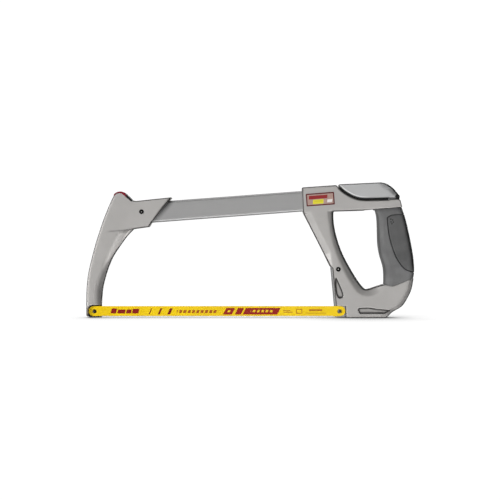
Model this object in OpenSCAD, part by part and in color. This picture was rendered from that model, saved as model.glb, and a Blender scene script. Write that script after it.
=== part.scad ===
// High-tension hacksaw: a straight tube joins a cast front arm to a cast D-handle.
// A lever on top of the handle turns a cam, which pushes a rod against the top of a rocker.
// The foot of the rocker carries the rear blade pin and pulls the blade tight.
// X runs from nose to handle, Z is up, Y is across. The saw stands on the floor at Z = 0.

/* [Blade] */
// Distance between the two blade holes
blade_span = 300; // [240:1:370]
// Height of the blade, teeth included
blade_w = 13; // [11:0.5:14]
// Thickness of the blade
blade_t = 0.65; // [0.5:0.05:0.9]
// Blade metal past each hole
blade_end = 7; // [6:0.5:8]
// Diameter of the blade holes
blade_hole_d = 4.2; // [3.9:0.1:4.6]
// Diameter of the blade pins
blade_pin_d = 3; // [2.6:0.1:3.2]
// Teeth pitch
tooth_pitch = 1.4; // [1.3:0.05:2.2]
// Depth of a tooth
tooth_h = 0.8; // [0.5:0.1:1.2]
// Height of the blade holes above the floor
hole_z = 7.2; // [7:0.1:8]

/* [Tube] */
// Height of the tube's axis above the floor, half way between the blade holes
tube_z = 134.3; // [122:0.1:165]
// Rise of the tube towards the handle, in degrees
tube_tilt = 4.25; // [3.5:0.25:5]
// Height of the tube
tube_h = 25; // [21:0.5:31]
// Width of the tube
tube_w = 13; // [11:0.5:16]
// Wall of the tube
tube_wall = 1.6; // [1.2:0.1:2.4]
// Corner radius of the tube
tube_r = 3.5; // [2.5:0.25:4]
// Casting wall above and below the tube
socket_wall = 4; // [3:0.25:5]

/* [Front arm] */
// Width of the arm below the socket
arm_w = 14; // [13:0.5:18]
// Width of the arm's socket block
arm_block_w = 19; // [18.5:0.5:24]
// Depth of the pocket for the blade seat, past the blade's back face
seat_t = 2.4; // [1.5:0.1:3.2]

/* [Handle] */
// Width of the handle casting
handle_w = 19; // [18:0.5:24]
// Width of the socket block and the lever
block_w = 21; // [20.5:0.5:25]
// Width of the rubber grip
grip_w = 30; // [26:0.5:38]
// Thickness of the rubber in front of and behind the core
grip_skin = 3; // [2:0.25:4]

/* [Rocker] */
// Thickness of the rocker
rocker_w = 8; // [6.5:0.25:9]
// Diameter of the rocker pin
rocker_pin_d = 5.8; // [4.5:0.1:7]
// Radius of the nose that the push rod bears on
rocker_nose_r = 4; // [3.5:0.25:4.5]

/* [Tension lever] */
// Angle through which the lever opens
lever_swing = 80; // [60:5:85]
// Wall of the lever
lever_wall = 2.9; // [2.4:0.1:3.2]
// Diameter of the lever's hinge pin
lever_pin_d = 3.2; // [2.6:0.1:3.4]
// Reach of the cam from the hinge when the lever is shut
cam_reach = 10; // [9:0.25:11]
// Diameter of the push rod
rod_d = 7; // [5.5:0.25:7.5]
// Thickness of the black pad under the lever
pad_t = 1.1; // [0.8:0.1:1.4]

/* [Clearances] */
// Radial clearance of a pin or rod in its bore
bore_gap = 0.06; // [0.03:0.01:0.1]
// Gap at the side of a moving plate in its slot
slide_gap = 0.3; // [0.2:0.05:0.5]
// Gap between the lever and what it shuts on
shut_gap = 0.2; // [0.15:0.05:0.4]
// Gap between two faces that bear on each other
touch_gap = 0.03; // [0.02:0.01:0.05]

/* [Hidden] */
$fn = 64;
far = 60;

// Places of the two blade holes, and the tube's axis over any X.
blade_mid_x = -40.8;
front_x = blade_mid_x - blade_span / 2;
rear_x = blade_mid_x + blade_span / 2;
function axis_z(x) = tube_z + (x - blade_mid_x) * tan(tube_tilt);

// Blade slack: the pins stand this far out of the middle of their holes when the blade is tight.
pin_play = (blade_hole_d - blade_pin_d) / 2 - touch_gap;
front_pin_x = front_x - pin_play;
rear_pin_x = rear_x + pin_play;
release_travel = 2 * pin_play;

// A point of the handle or the arm keeps its place near the blade. Near the tube it follows the axis,
// whose height over each blade hole is the drawn one in the outlines below.
function blend(z, low, high) = min(1, max(0, (z - low) / (high - low)));
drawn_rear_z = 145.447;
drawn_front_z = 123.153;
handle_lift = axis_z(rear_x) - drawn_rear_z;
arm_lift = axis_z(front_x) - drawn_front_z;
function hp(p) = [rear_x + p[0], p[1] + handle_lift * blend(p[1], 60, 125)];
function fp(p) = [front_x + p[0], p[1] + arm_lift * blend(p[1], 20, 100)];
function hps(points) = [for (p = points) hp(p)];
function fps(points) = [for (p = points) fp(p)];

// Catmull-Rom curve through the points, with n steps between two of them.
function cr(a, b, c, d, t) = 0.5 * (2 * b + (c - a) * t + (2 * a - 5 * b + 4 * c - d) * t * t
    + (3 * b - a - 3 * c + d) * t * t * t);
function curve(p, n = 4) = [for (i = [0 : len(p) - 2]) for (k = [0 : n - 1])
    cr(p[max(0, i - 1)], p[i], p[i + 1], p[min(len(p) - 1, i + 2)], k / n), p[len(p) - 1]];

// The points of a curve moved out by d at right angles to it, to the left of its direction.
function across(p, i) = p[min(len(p) - 1, i + 1)] - p[max(0, i - 1)];
function shifted(p, d) = [
    for (i = [0 : len(p) - 1]) let (t = across(p, i)) p[i] + d * [-t[1], t[0]] / norm(t)
];
function reversed(p) = [for (i = [len(p) - 1 : -1 : 0]) p[i]];
function tail(p) = [for (i = [1 : len(p) - 1]) p[i]];

// Points of an arc, and of a rectangle with round corners centred on the origin.
function arc(c, r, from, to, n = 8) = [for (k = [0 : n]) let (a = from + (to - from) * k / n)
    c + r * [cos(a), sin(a)]];
function round_rect(w, h, r) = [for (q = [0 : 3]) let (c = [(w / 2 - r) * ((q == 0 || q == 3) ? 1 : -1),
    (h / 2 - r) * (q < 2 ? 1 : -1)]) for (p = arc(c, r, q * 90, q * 90 + 90, 5)) p];

// An outline in X and Z, drawn as a plate from y0 to y1.
module plate(points, y0, y1) {
    translate([0, y1, 0]) rotate([90, 0, 0]) linear_extrude(y1 - y0) polygon(points);
}
module across_pin(p, d, y0, y1) {
    translate([p[0], y1, p[1]]) rotate([90, 0, 0]) cylinder(d = d, h = y1 - y0);
}
// Places its children along the tube's axis: local Z runs from nose to handle, local X points down.
module on_axis(x) {
    translate([x, 0, axis_z(x)]) rotate([0, 90 - tube_tilt, 0]) children();
}

// Front arm outline, from the floor up the outer edge, over the nose and back down the inner edge.
arm_outer = curve(fps([[-9.4, 15.8], [-8.9, 37], [-6.6, 55.7], [-1.8, 75.6], [3.9, 95.5], [11, 116.6],
    [16.9, 131.8], [22.7, 145]]), 3);
arm_nose = curve(fps([[22.7, 145], [26.6, 150.8], [32.1, 152.8], [37.6, 151.2], [46.2, 142.9]]), 5);
arm_inner = curve(fps([[48.5, 107.8], [40.3, 99.1], [30.9, 86.1], [22.7, 73.2], [16.9, 59.1], [12.8, 45.2],
    [10.4, 33.4], [9.1, 16]]), 3);
// The socket's mouth slants back, and its walls run along the tube.
mouth_tip_x = front_x + 95.4;
mouth_low_x = front_x + 70.8;
arm_mouth = [[mouth_tip_x, axis_z(mouth_tip_x) + tube_h / 2 + socket_wall],
    [mouth_low_x, axis_z(mouth_low_x) - tube_h / 2 + 0.6],
    [mouth_low_x - 3.6, axis_z(mouth_low_x) - tube_h / 2 - socket_wall - 1.4]];
arm_foot = fps([[9.1, 0], [-6.8, 0], [-9.3, 2.7]]);
arm_points = concat(arm_foot, arm_outer, tail(arm_nose), fps([[52.1, 142.2]]), arm_mouth, arm_inner);

// Handle outline.
seat_curve = curve(hps([[-1.3, 157.8], [3.1, 153.7], [8.4, 150.1], [14.7, 146.7], [21.2, 144.5], [27, 143.6],
    [35.3, 143.4], [58.7, 144]]), 3);
heel = hp([70, 147.9]);
knuckle_r = 2.8;
seat_rear = [[heel[0] - 1, heel[1] - knuckle_r - shut_gap - 0.3], [heel[0] + 1.9, heel[1] - knuckle_r - 0.5]];
handle_back = curve(hps([[73.4, 143.1], [75.8, 134.5], [80.5, 119.1], [86.4, 92.2], [89.9, 71.1], [91, 57.1],
    [89.9, 47.8], [87.6, 34.9], [82.8, 24.2], [75.8, 13.7], [64.1, 6.7], [57.1, 0.5], [54, 0]]), 3);
cheek_front = hps([[-3.1, 0], [-4.6, 14], [-9, 60], [-12, 62.9]]);
socket_mouth_x = rear_x - 44.8;
block_back_x = rear_x - 4.9;
block_top = tube_h / 2 + socket_wall;
handle_block = [[socket_mouth_x, axis_z(socket_mouth_x) - tube_h / 2 - socket_wall / 2],
    [socket_mouth_x - 1.2, axis_z(socket_mouth_x) + block_top],
    [block_back_x, axis_z(block_back_x) + block_top]];
handle_points = concat(cheek_front, handle_block, seat_curve, seat_rear, handle_back);

// The hand hole, from its top front corner down the strut and up the grip.
hole_strut = curve(hps([[-7.9, 128], [-7.3, 115.7], [-4.4, 100.4], [0.9, 84], [7.9, 68.8], [17.3, 52.4],
    [24.3, 41.9], [29.5, 36], [33.7, 34.9], [45.3, 38.3], [53.5, 40.7]]), 3);
hole_grip = curve(hps([[53.8, 44], [53.8, 57.1], [52.4, 65.3], [48.9, 77], [46.8, 89.9], [46.3, 104],
    [45.9, 116.8], [44.8, 125], [43, 130.9]]), 3);
hole_points = concat(hole_strut, hole_grip, hps([[-7, 129.4]]));

// The grip covers the rear column between these two lines.
grip_top = hps([[30, 130.9], [43, 132.1], [75.3, 134.9], [100, 137]]);
grip_low = hps([[40, 44], [53.8, 40.3], [64.3, 38.2], [74.1, 42], [88.7, 47.8], [100, 52.4]]);
grip_zone = concat(grip_top, reversed(grip_low));
palm_edge = curve(hps([[100, 126.6], [74.6, 126], [64.1, 125.3], [57.7, 122.7], [56.8, 119.1], [57.7, 109.8],
    [59.4, 98.1], [63, 85.2], [67.6, 73.5], [74.6, 62.9], [82.8, 57.1], [100, 52.6]]), 3);
groove = 0.7;

// Rocker: pin, nose on the tube's axis, and what its swing makes of the rod and the cam.
rocker_at = hp([-2.1, 59]);
rocker_shank_d = rocker_pin_d - 1;
nose_x = rear_x - 15.7;
nose_at = [nose_x, axis_z(nose_x)];
axis_dir = [cos(tube_tilt), sin(tube_tilt)];
axis_up = [-sin(tube_tilt), cos(tube_tilt)];
rocker_low = rocker_at[1] - hole_z;
rocker_high = (nose_at - rocker_at) * axis_up;
rocker_swing = asin(release_travel / rocker_low);
rod_travel = rocker_high * rocker_swing * PI / 180;
cam_rate = rod_travel / (lever_swing * PI / 180);

rocker_points = concat(hps([[-5.6, 0.4], [-6.7, 13.7], [-11.1, 60.6], [-14.2, 84], [-20.7, 112]]),
    [nose_at + [-rocker_nose_r - 1.5, -6]], arc(nose_at, rocker_nose_r, 180, 0, 12),
    [nose_at + [rocker_nose_r - 1.5, -6]],
    hps([[-12.7, 112], [-6.2, 84], [4.9, 64], [5.4, 54], [8.5, 20], [7.5, 0.4]]));
// Slot for the rocker: open to the front below the socket, and a chamber behind the tube's end.
nose_clear = 2.8;
tube_end_x = nose_x - rocker_nose_r - nose_clear;
tube_start_x = front_x + 48;
slot_w = rocker_w + 2 * slide_gap;
slot_top = nose_at[1] + rocker_nose_r + 2;
tip_face = nose_at + (rocker_nose_r + touch_gap) * axis_dir;
slot_points = concat([[rear_x - far, -1], [rear_x - far, hp([0, 114])[1]],
    [tube_end_x - 0.2, hp([0, 114])[1]],
    [tube_end_x - 0.2, slot_top], [tip_face[0] + 3.5, slot_top], [tip_face[0] + 3.5, nose_at[1] - 6]],
    hps([[-10.8, 134], [-10.8, 112], [-4.8, 84], [6.4, 64.4], [6.7, 54], [9.4, 20], [9, -1]]));

// Push rod: its rear face bears on the cam, square to the tube's axis.
heel_along = (heel - nose_at) * axis_dir;
rod_end_s = heel_along - cam_reach;
tip_len = 3;
guide_l = 34;
rod_start_s = rocker_nose_r + touch_gap + tip_len;

// Cam: a plate whose reach falls evenly as the lever opens, so its edge is an involute.
cam_side_gap = 0.5;
cam_w = slot_w - 2 * cam_side_gap;
cam_gap = 0.04;
function cam_edge(a) = let (reach = cam_reach - cam_gap - cam_rate * a * PI / 180,
    n = [-cos(a + tube_tilt), -sin(a + tube_tilt)],
    t = [sin(a + tube_tilt), -cos(a + tube_tilt)]) heel + reach * n - cam_rate * t;
cam_sector = [for (a = [-9 : 3.5 : lever_swing + 9]) cam_edge(a)];
cam_boss_r = 3;
cam_arm = hps([[69.4, 150.7], [66.3, 151.2], [63.2, 154], [58.2, 157.3], [53, 160.2],
    [44, 160.2], [44, 154.6],
    [59.4, 154.6]]);

// Lever outline: the top, the hinge knuckle, and the underside a gap above the pad.
lever_shoulder = curve(hps([[49.9, 164.8], [55.5, 163.6], [61.5, 160.3], [66.4, 156], [70.2, 151.2],
    [71.9, 148.6]]), 4);
lever_top = concat(hps([[-1.7, 161.4], [-0.9, 162.3], [5.9, 162.7]]), lever_shoulder);
lever_under = shifted(seat_curve, pad_t + shut_gap);
lever_points = concat(lever_top, arc(heel, knuckle_r, 0, -90, 8), reversed(lever_under));
lever_hollow = concat(hps([[9, 159.2], [49.4, 161.6], [52.4, 161.2], [59, 157.7], [64.4, 154.2]]),
    [heel, heel + [0, -6]], hps([[30, 138], [18, 142], [9, 152]]));
ear_in = slot_w / 2;
ear_out = block_w / 2 - lever_wall - slide_gap;
side_in = block_w / 2 - lever_wall;

module front_arm() {
    color("lightgray") difference() {
        union() {
            plate(arm_points, -arm_w / 2, arm_w / 2);
            intersection() {
                plate(arm_points, -arm_block_w / 2, arm_block_w / 2);
                plate(fps([[-30, 200], [-30, 104], [48, 107.8], [100, 95], [140, 200]]), -far, far);
            }
        }
        on_axis(tube_start_x - 0.1) linear_extrude(200) polygon(round_rect(tube_h, tube_w, tube_r));
        across_pin(arm_pin_at, arm_pin_d, -far, far);
        plate(seat_pocket, -far, seat_back);
        across_pin([front_pin_x, hole_z], blade_pin_d, -far, front_pin_end);
        seat_screw_shape();
    }
}

module frame_tube() {
    color("silver") difference() {
        on_axis(tube_start_x) linear_extrude((tube_end_x - tube_start_x) / cos(tube_tilt))
            polygon(round_rect(tube_h, tube_w, tube_r));
        on_axis(tube_start_x - 1) linear_extrude((tube_end_x - tube_start_x) / cos(tube_tilt) + 2)
            polygon(round_rect(tube_h - 2 * tube_wall, tube_w - 2 * tube_wall, tube_r - tube_wall));
        across_pin(arm_pin_at, arm_pin_d, -far, far);
        across_pin(rear_tube_pin_at, rear_tube_pin_d, -far, far);
    }
}

// Pin through the arm and the tube, with a sunk head on each side.
arm_pin_d = 4;
arm_head_d = 5.8;
arm_pin_x = front_x + 58.4;
arm_pin_at = [arm_pin_x, axis_z(arm_pin_x) + 1.5];
module front_tube_pin() {
    color("black") headed_pin(arm_pin_at, arm_pin_d, arm_head_d, arm_block_w / 2);
}
// A pin from face to face, with a low head standing on each face and a socket in its near end.
head_t = 0.5;
module headed_pin(at, d, head_d, half) {
    difference() {
        union() {
            across_pin(at, d, -half, half);
            across_pin(at, head_d, -half - head_t, -half);
            across_pin(at, head_d, half, half + head_t);
        }
        across_pin(at, d / 2, -far, -half);
    }
}

// Roll pin that holds the tube in the handle, below the label.
rear_tube_pin_d = 4;
roll_wall = 0.8;
rear_tube_pin_x = rear_x - 33;
rear_tube_pin_at = [rear_tube_pin_x, axis_z(rear_tube_pin_x) - 1];
module rear_tube_pin() {
    color("dimgray") difference() {
        across_pin(rear_tube_pin_at, rear_tube_pin_d, -block_w / 2 + pin_sunk, block_w / 2 - pin_sunk);
        across_pin(rear_tube_pin_at, rear_tube_pin_d - 2 * roll_wall, -far, far);
    }
}

// Rubber strip over the nose.
nose_pad_t = 0.9;
module nose_pad() {
    color("crimson") plate(concat(arm_nose, reversed(shifted(arm_nose, nose_pad_t))),
        -arm_block_w / 2 + 1.5, arm_block_w / 2 - 1.5);
}

// Black seat behind the blade's front end, in a pocket of the arm's foot.
blade_back = blade_t / 2 + 0.1;
seat_back = blade_back + seat_t;
seat_pocket = concat(fps([[12, -1], [-7.6, -1]]), arc([front_x - 1.6, 9.4], 6, 180, 90, 6),
    fps([[12, 15.4]]));
seat_points = concat(fps([[8.9, 0.3], [-7.4, 0.3]]), arc([front_x - 1.6, 9.4], 5.8, 180, 90, 6),
    fps([[8.9, 15.2]]));
front_pin_end = arm_w / 2 - 1.5;
module front_blade_seat() {
    color("black") difference() {
        plate(seat_points, blade_back, seat_back);
        across_pin([front_pin_x, hole_z], blade_pin_d, -far, far);
        seat_screw_shape();
    }
}
// Countersunk screw from the far side into the seat.
seat_screw_at = fp([4.6, 7.4]);
screw_d = 3;
screw_head_d = 5.6;
screw_head_t = 1.8;
module seat_screw_shape() {
    across_pin(seat_screw_at, screw_d, blade_back + 0.6, arm_w / 2 + 1);
    across_pin(seat_screw_at, screw_head_d, arm_w / 2 - screw_head_t, arm_w / 2 + 1);
}
module seat_screw() {
    color("dimgray") difference() {
        seat_screw_shape();
        translate([0, arm_w / 2 - 0.1, 0]) translate([-far * 5, 0, -1]) cube([far * 10, 5, far]);
        translate([seat_screw_at[0], arm_w / 2 - 0.1, seat_screw_at[1]])
            cube([6, 1.6, 0.9], center = true);
    }
}

// Blade pins stand out past the blade.
pin_out = 2.6;
module front_blade_pin() {
    color("gray") across_pin([front_pin_x, hole_z], blade_pin_d, -pin_out, front_pin_end);
}
module rear_blade_pin() {
    color("gray") across_pin([rear_pin_x, hole_z], blade_pin_d, -pin_out, rocker_w / 2);
}

// The teeth start a little way in from the holes, and the ends are nearly half round.
toothless = 9;
end_flat = 0.6;
module blade() {
    z0 = hole_z - blade_w / 2;
    z1 = hole_z + blade_w / 2;
    r = blade_w / 2 - end_flat;
    x0 = front_x - blade_end;
    x1 = rear_x + blade_end;
    first = front_x + toothless;
    count = floor((rear_x - toothless - first) / tooth_pitch);
    teeth = [for (i = [0 : count - 1]) for (p = [[0, tooth_h], [0.12, 0]])
        [first + (i + p[0]) * tooth_pitch, z0 + p[1]]];
    outline = concat(teeth, [[x1 - r, z0 + tooth_h]], arc([x1 - r, z0 + tooth_h + r], r, -90, 0, 6),
        arc([x1 - r, z1 - r], r, 0, 90, 6), arc([x0 + r, z1 - r], r, 90, 180, 6),
        arc([x0 + r, z0 + tooth_h + r], r, 180, 270, 6));
    color("gold") difference() {
        plate(outline, -blade_t / 2, blade_t / 2);
        for (x = [front_x, rear_x]) across_pin([x, hole_z], blade_hole_d, -far, far);
    }
}

module rocker() {
    color("darkgray") difference() {
        plate(rocker_points, -rocker_w / 2, rocker_w / 2);
        across_pin(rocker_at, rocker_shank_d + 2 * bore_gap, -far, far);
        across_pin([rear_pin_x, hole_z], blade_pin_d, -far, far);
        plate([[rear_x - far, -far], [rear_x + far, -far],
            [rear_x + far, foot_cut_z], [rear_x - far, foot_cut_z]],
            -far, blade_back);
    }
}
// Below this height the near half of the rocker and the handle is cut back for the blade.
foot_gap = 0.8;
foot_cut_z = hole_z + blade_w / 2 + foot_gap;
foot_cut_x = rear_x + blade_end + foot_gap;

module rocker_pin() {
    color("black") headed_pin(rocker_at, rocker_shank_d, rocker_pin_d, handle_w / 2);
}

// Rod and its hardened tip.
module push_rod() {
    color("gray") on_axis(nose_x) difference() {
        translate([0, 0, rod_start_s]) cylinder(d = rod_d, h = rod_end_s - rod_start_s);
        translate([0, 0, rod_start_s - 1]) cylinder(d = 3, h = 6);
    }
}
module rod_tip() {
    color("dimgray") on_axis(nose_x) {
        translate([0, 0, rod_start_s - tip_len]) cylinder(d = rod_d - 0.6, h = tip_len);
        translate([0, 0, rod_start_s - 0.5]) cylinder(d = 3, h = 5);
    }
}

module handle_casting() {
    color("lightgray") difference() {
        union() {
            plate(handle_points, -handle_w / 2, handle_w / 2);
            intersection() {
                plate(handle_points, -block_w / 2, block_w / 2);
                plate(hps([[-60, 200], [-60, 116], [-38, 127], [-8, 129],
                    [30, 131.6], [100, 137.6], [100, 200]]),
                    -far, far);
            }
            for (side = [-1, 1]) hinge_ear(side);
        }
        plate(hole_points, -far, far);
        difference() {
            plate(grip_zone, -far, far);
            grip_core();
        }
        on_axis(socket_mouth_x - 5) linear_extrude((tube_end_x - socket_mouth_x + 5) / cos(tube_tilt))
            polygon(round_rect(tube_h, tube_w, tube_r));
        plate(slot_points, -slot_w / 2, slot_w / 2);
        plate([[rear_x - far, -1], [foot_cut_x, -1], [foot_cut_x, foot_cut_z], [rear_x - far, foot_cut_z]],
            -far, blade_back);
        on_axis(nose_x) cylinder(d = rod_d + 2 * bore_gap, h = heel_along);
        on_axis(nose_x + guide_l) cylinder(d = rod_d + 2 * slide_gap, h = heel_along - guide_l);
        plate(cam_pocket, -slot_w / 2, slot_w / 2);
        ear_gap();
        across_pin(rocker_at, rocker_shank_d, -far, far);
        across_pin(rear_tube_pin_at, rear_tube_pin_d, -far, far);
        across_pin(heel, lever_pin_d, -far, far);
        for (side = [-1, 1]) pocket_pair(side);
    }
}
chamber_front = cam_reach + 2.6;
chamber_drop = 9.2;
cam_pocket = [heel + [-chamber_front, far], heel + [-chamber_front, -chamber_drop],
    heel + [1, -chamber_drop], heel + [1, far]];
// Two ears carry the lever's hinge pin inside the lever's walls.
module hinge_ear(side) {
    y0 = side < 0 ? -ear_out : ear_in;
    y1 = side < 0 ? -ear_in : ear_out;
    plate(concat(arc(heel, knuckle_r, 0, 180, 10),
        [heel + [-knuckle_r, -5], heel + [knuckle_r, -5]]), y0, y1);
}
// The chamber between the ears lets the cam's boss turn.
module ear_gap() {
    across_pin(heel, 2 * (cam_boss_r + 0.25), -slot_w / 2, slot_w / 2);
}
// Drop-shaped and boat-shaped pockets in each cheek.
pocket_depth = 1.6;
module pocket_pair(side) {
    y0 = side < 0 ? -far : handle_w / 2 - pocket_depth;
    y1 = side < 0 ? -handle_w / 2 + pocket_depth : far;
    plate(curve(hps([[-5, 49.9], [-5.9, 43.8], [-4.6, 29], [-0.8, 23.4],
        [4.4, 27.1], [-0.6, 40.9], [-5, 49.9]]), 4),
        y0, y1);
    plate(hps([[21.8, 9.3], [23.3, 12.1], [34.9, 12.5], [46.7, 10.6],
        [62, 9.3], [54.9, 4.9], [24.4, 4.9]]), y0, y1);
}

// The core that the grip is moulded round.
core_w = 15;
core_front = shifted(concat(hps([[53.8, 36]]), hole_grip, hps([[40, 137]])), -grip_skin);
core_back = shifted(handle_back, -grip_skin);
module grip_core() {
    plate(concat(core_front, hps([[66, 150]]), core_back), -core_w / 2, core_w / 2);
}
module grip_body(zone) {
    difference() {
        intersection() {
            plate(handle_points, -grip_w / 2, grip_w / 2);
            plate(zone, -far, far);
        }
        plate(hole_points, -far, far);
        grip_core();
    }
}
module grip_sleeve() {
    color("dimgray") difference() {
        grip_body(grip_zone);
        plate(concat(palm_edge, [[rear_x + 120, 60]]), -far, far);
    }
}
module palm_pad() {
    color("gray") intersection() {
        grip_body(grip_zone);
        plate(concat(shifted(palm_edge, groove), [[rear_x + 120, 60]]), -far, far);
    }
}

// Label on the near side of the socket block.
label_t = 0.3;
label_l = 34.5;
label_h = 15.4;
label_x = rear_x - 24.2;
label_rise = 0.6;
module side_label() {
    color("firebrick") translate([label_x, -block_w / 2, axis_z(label_x) + label_rise])
        rotate([90, -tube_tilt, 0]) linear_extrude(label_t) polygon(round_rect(label_l, label_h, 1));
}

// The pad lies each side of the rod, a little in from the block's faces.
pad_inset = 0.4;
pad_rod_gap = 0.8;
module lever_pad() {
    strip = concat(seat_curve, reversed(shifted(seat_curve, pad_t)));
    color("black") {
        plate(strip, -block_w / 2 + pad_inset, -rod_d / 2 - pad_rod_gap);
        plate(strip, rod_d / 2 + pad_rod_gap, block_w / 2 - pad_inset);
    }
}

// The pin goes in from the far side, and the lever's near wall covers its end.
pin_cover = 1.1;
pin_sunk = 0.3;
module lever_pin() {
    color("gray") across_pin(heel, lever_pin_d, -block_w / 2 + pin_cover + 0.1, block_w / 2 - pin_sunk);
}

module tension_lever() {
    color("silver") difference() {
        plate(lever_points, -block_w / 2, block_w / 2);
        plate(lever_hollow, -side_in, side_in);
        across_pin(heel, lever_pin_d + 2 * bore_gap, -block_w / 2 + pin_cover, far);
        across_pin(heel, 2 * (knuckle_r + 0.35), -side_in, side_in);
        plate([heel + [-1, -1], heel + [-3.4, 2.5], heel + [-5, 7.5], heel + [3, 7.5],
            heel + [far, 0], heel + [0, -far]],
            -side_in, side_in);
        rivet_holes();
    }
}

module lever_cam() {
    color("gray") difference() {
        union() {
            plate(concat([heel], cam_sector), -cam_w / 2, cam_w / 2);
            plate(concat([heel], cam_arm), -cam_w / 2, cam_w / 2);
            across_pin(heel, 2 * cam_boss_r, -cam_w / 2, cam_w / 2);
        }
        across_pin(heel, lever_pin_d + 2 * bore_gap, -far, far);
        rivet_holes();
    }
}
// Two rivets hold the cam's arm to the lever's walls.
rivet_d = 2.4;
rivet_places = hps([[47, 157.4], [53.5, 157.4]]);
module rivet_holes() {
    for (p = rivet_places) across_pin(p, rivet_d, -side_in - 1.5, side_in + 1.5);
}
module cam_rivets() {
    color("dimgray") rivet_holes();
}

front_arm();
frame_tube();
handle_casting();
front_tube_pin();
rear_tube_pin();
nose_pad();
front_blade_seat();
seat_screw();
front_blade_pin();
grip_sleeve();
palm_pad();
side_label();
lever_pad();
lever_pin();
rocker_pin();
tension_lever();
lever_cam();
cam_rivets();
push_rod();
rod_tip();
rocker();
rear_blade_pin();
blade();
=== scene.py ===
"""Looks of a hand hacksaw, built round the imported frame.

Sizes are in millimetres until a mesh is made. X runs from the nose to the handle, Z is up.
"""

import functools
import logging
import math
from collections.abc import Callable, Sequence
from dataclasses import dataclass
from enum import Enum

import bpy
import numpy as np
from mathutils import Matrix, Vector
from numpy.typing import NDArray


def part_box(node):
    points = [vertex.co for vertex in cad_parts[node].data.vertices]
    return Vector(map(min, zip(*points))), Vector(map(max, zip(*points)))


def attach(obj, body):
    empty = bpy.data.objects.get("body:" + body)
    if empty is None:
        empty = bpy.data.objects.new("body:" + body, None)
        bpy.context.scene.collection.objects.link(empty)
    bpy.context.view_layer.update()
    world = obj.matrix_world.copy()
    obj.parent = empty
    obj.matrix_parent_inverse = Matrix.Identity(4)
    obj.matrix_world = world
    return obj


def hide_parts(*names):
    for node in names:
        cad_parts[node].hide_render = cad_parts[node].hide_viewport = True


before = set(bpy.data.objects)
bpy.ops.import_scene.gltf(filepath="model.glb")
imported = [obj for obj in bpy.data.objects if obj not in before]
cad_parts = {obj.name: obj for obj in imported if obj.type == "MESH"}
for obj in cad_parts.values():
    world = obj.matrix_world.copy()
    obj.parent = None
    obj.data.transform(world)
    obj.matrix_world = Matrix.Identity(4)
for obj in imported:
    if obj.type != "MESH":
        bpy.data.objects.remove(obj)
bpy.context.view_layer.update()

Array = NDArray[np.float64]
Field = Callable[[Array, Array, Array], Array]
Points = Sequence[Sequence[float]]
Point = Sequence[float]
Colour = tuple[float, float, float, float]

LOG = logging.getLogger("hacksaw")
MM = 0.001

# Height of the blade's holes, and the palm panel's dimples from the rear one.
PEG_Z = 7.2
PALM_DIMPLES = ((61.2, 120.0), (63.4, 118.9), (61.4, 116.6), (64.2, 116.4), (62.4, 114.4))


class Slot(str, Enum):
    """Names of the record's material slots, passed along with the new pieces."""

    CAST = "cast_alloy"
    TUBE = "tube_alloy"
    LEVER = "lever_alloy"
    ROCKER = "rocker_alloy"
    GRIP = "grip_rubber"
    PALM = "palm_rubber"
    NOSE = "red_rubber"
    BLACK = "black_steel"
    BRIGHT = "bright_steel"


class Body(str, Enum):
    """The CAD bodies that new pieces ride on."""

    FRAME = "frame"
    LEVER = "lever"
    HOLDER = "rear_holder"


# ---------------------------------------------------------------- outlines and distances


def curve(points: Points, steps: int = 4) -> Array:
    """Uniform Catmull-Rom curve through the points, with its end points doubled.

    Args:
        points: The (x, z) points to pass through.
        steps: Number of steps between two of them.

    Returns:
        The curve's own points, the last one included.
    """
    p = np.asarray(points, float)
    q = np.vstack([p[:1], p, p[-1:]])
    a, b, c, d = (q[i : len(q) - 3 + i, None, :] for i in range(4))
    t = (np.arange(steps) / steps)[None, :, None]
    inner = 0.5 * (
        2 * b + (c - a) * t + (2 * a - 5 * b + 4 * c - d) * t**2 + (3 * b - a - 3 * c + d) * t**3
    )
    return np.vstack([inner.reshape(-1, 2), p[-1:]])


def shifted(points: Points, distance: float) -> Array:
    """Moves a line's points out at right angles to it.

    Args:
        points: The line's points.
        distance: How far they go to the left of its direction.

    Returns:
        The moved points.
    """
    p = np.asarray(points, float)
    t = np.vstack([p[1:2] - p[:1], p[2:] - p[:-2], p[-1:] - p[-2:-1]])
    n = np.stack([-t[:, 1], t[:, 0]], 1) / np.linalg.norm(t, axis=1, keepdims=True)
    return p + distance * n


def arc(centre: Point, radius: float, start: float, end: float, steps: int = 8) -> Array:
    """Points of an arc, with its angles in degrees."""
    a = np.radians(np.linspace(start, end, steps + 1))
    return np.asarray(centre, float) + radius * np.stack([np.cos(a), np.sin(a)], 1)


def join(*parts: Points) -> Array:
    """Puts several runs of points together.

    Args:
        parts: The runs, in order.

    Returns:
        One closed outline, without the points that repeat the one before.
    """
    p = np.vstack([np.asarray(q, float).reshape(-1, 2) for q in parts])
    keep = np.linalg.norm(p - np.roll(p, 1, axis=0), axis=1) > 1e-6
    return p[keep]


def nearest(points: Array, closed: bool, x: Array, z: Array) -> tuple[Array, Array]:
    """Measures from each place to the nearest segment of a line.

    Args:
        points: The line's points.
        closed: Whether its last point is joined to its first.
        x: The places' X.
        z: Their Z.

    Returns:
        The distance, and a number above zero where the place lies to the segment's left.
    """
    ends = np.roll(points, -1, axis=0) if closed else points[1:]
    best = np.full(np.broadcast(x, z).shape, 1e18)
    side = np.zeros_like(best)
    for (ax, az), (bx, bz) in zip(points, ends):
        ex, ez = bx - ax, bz - az
        px, pz = x - ax, z - az
        t = np.clip((px * ex + pz * ez) / (ex * ex + ez * ez), 0, 1)
        gap = (px - t * ex) ** 2 + (pz - t * ez) ** 2
        nearer = gap < best
        side = np.where(nearer, ex * pz - ez * px, side)
        best = np.where(nearer, gap, best)
    return np.sqrt(best), side


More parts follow.
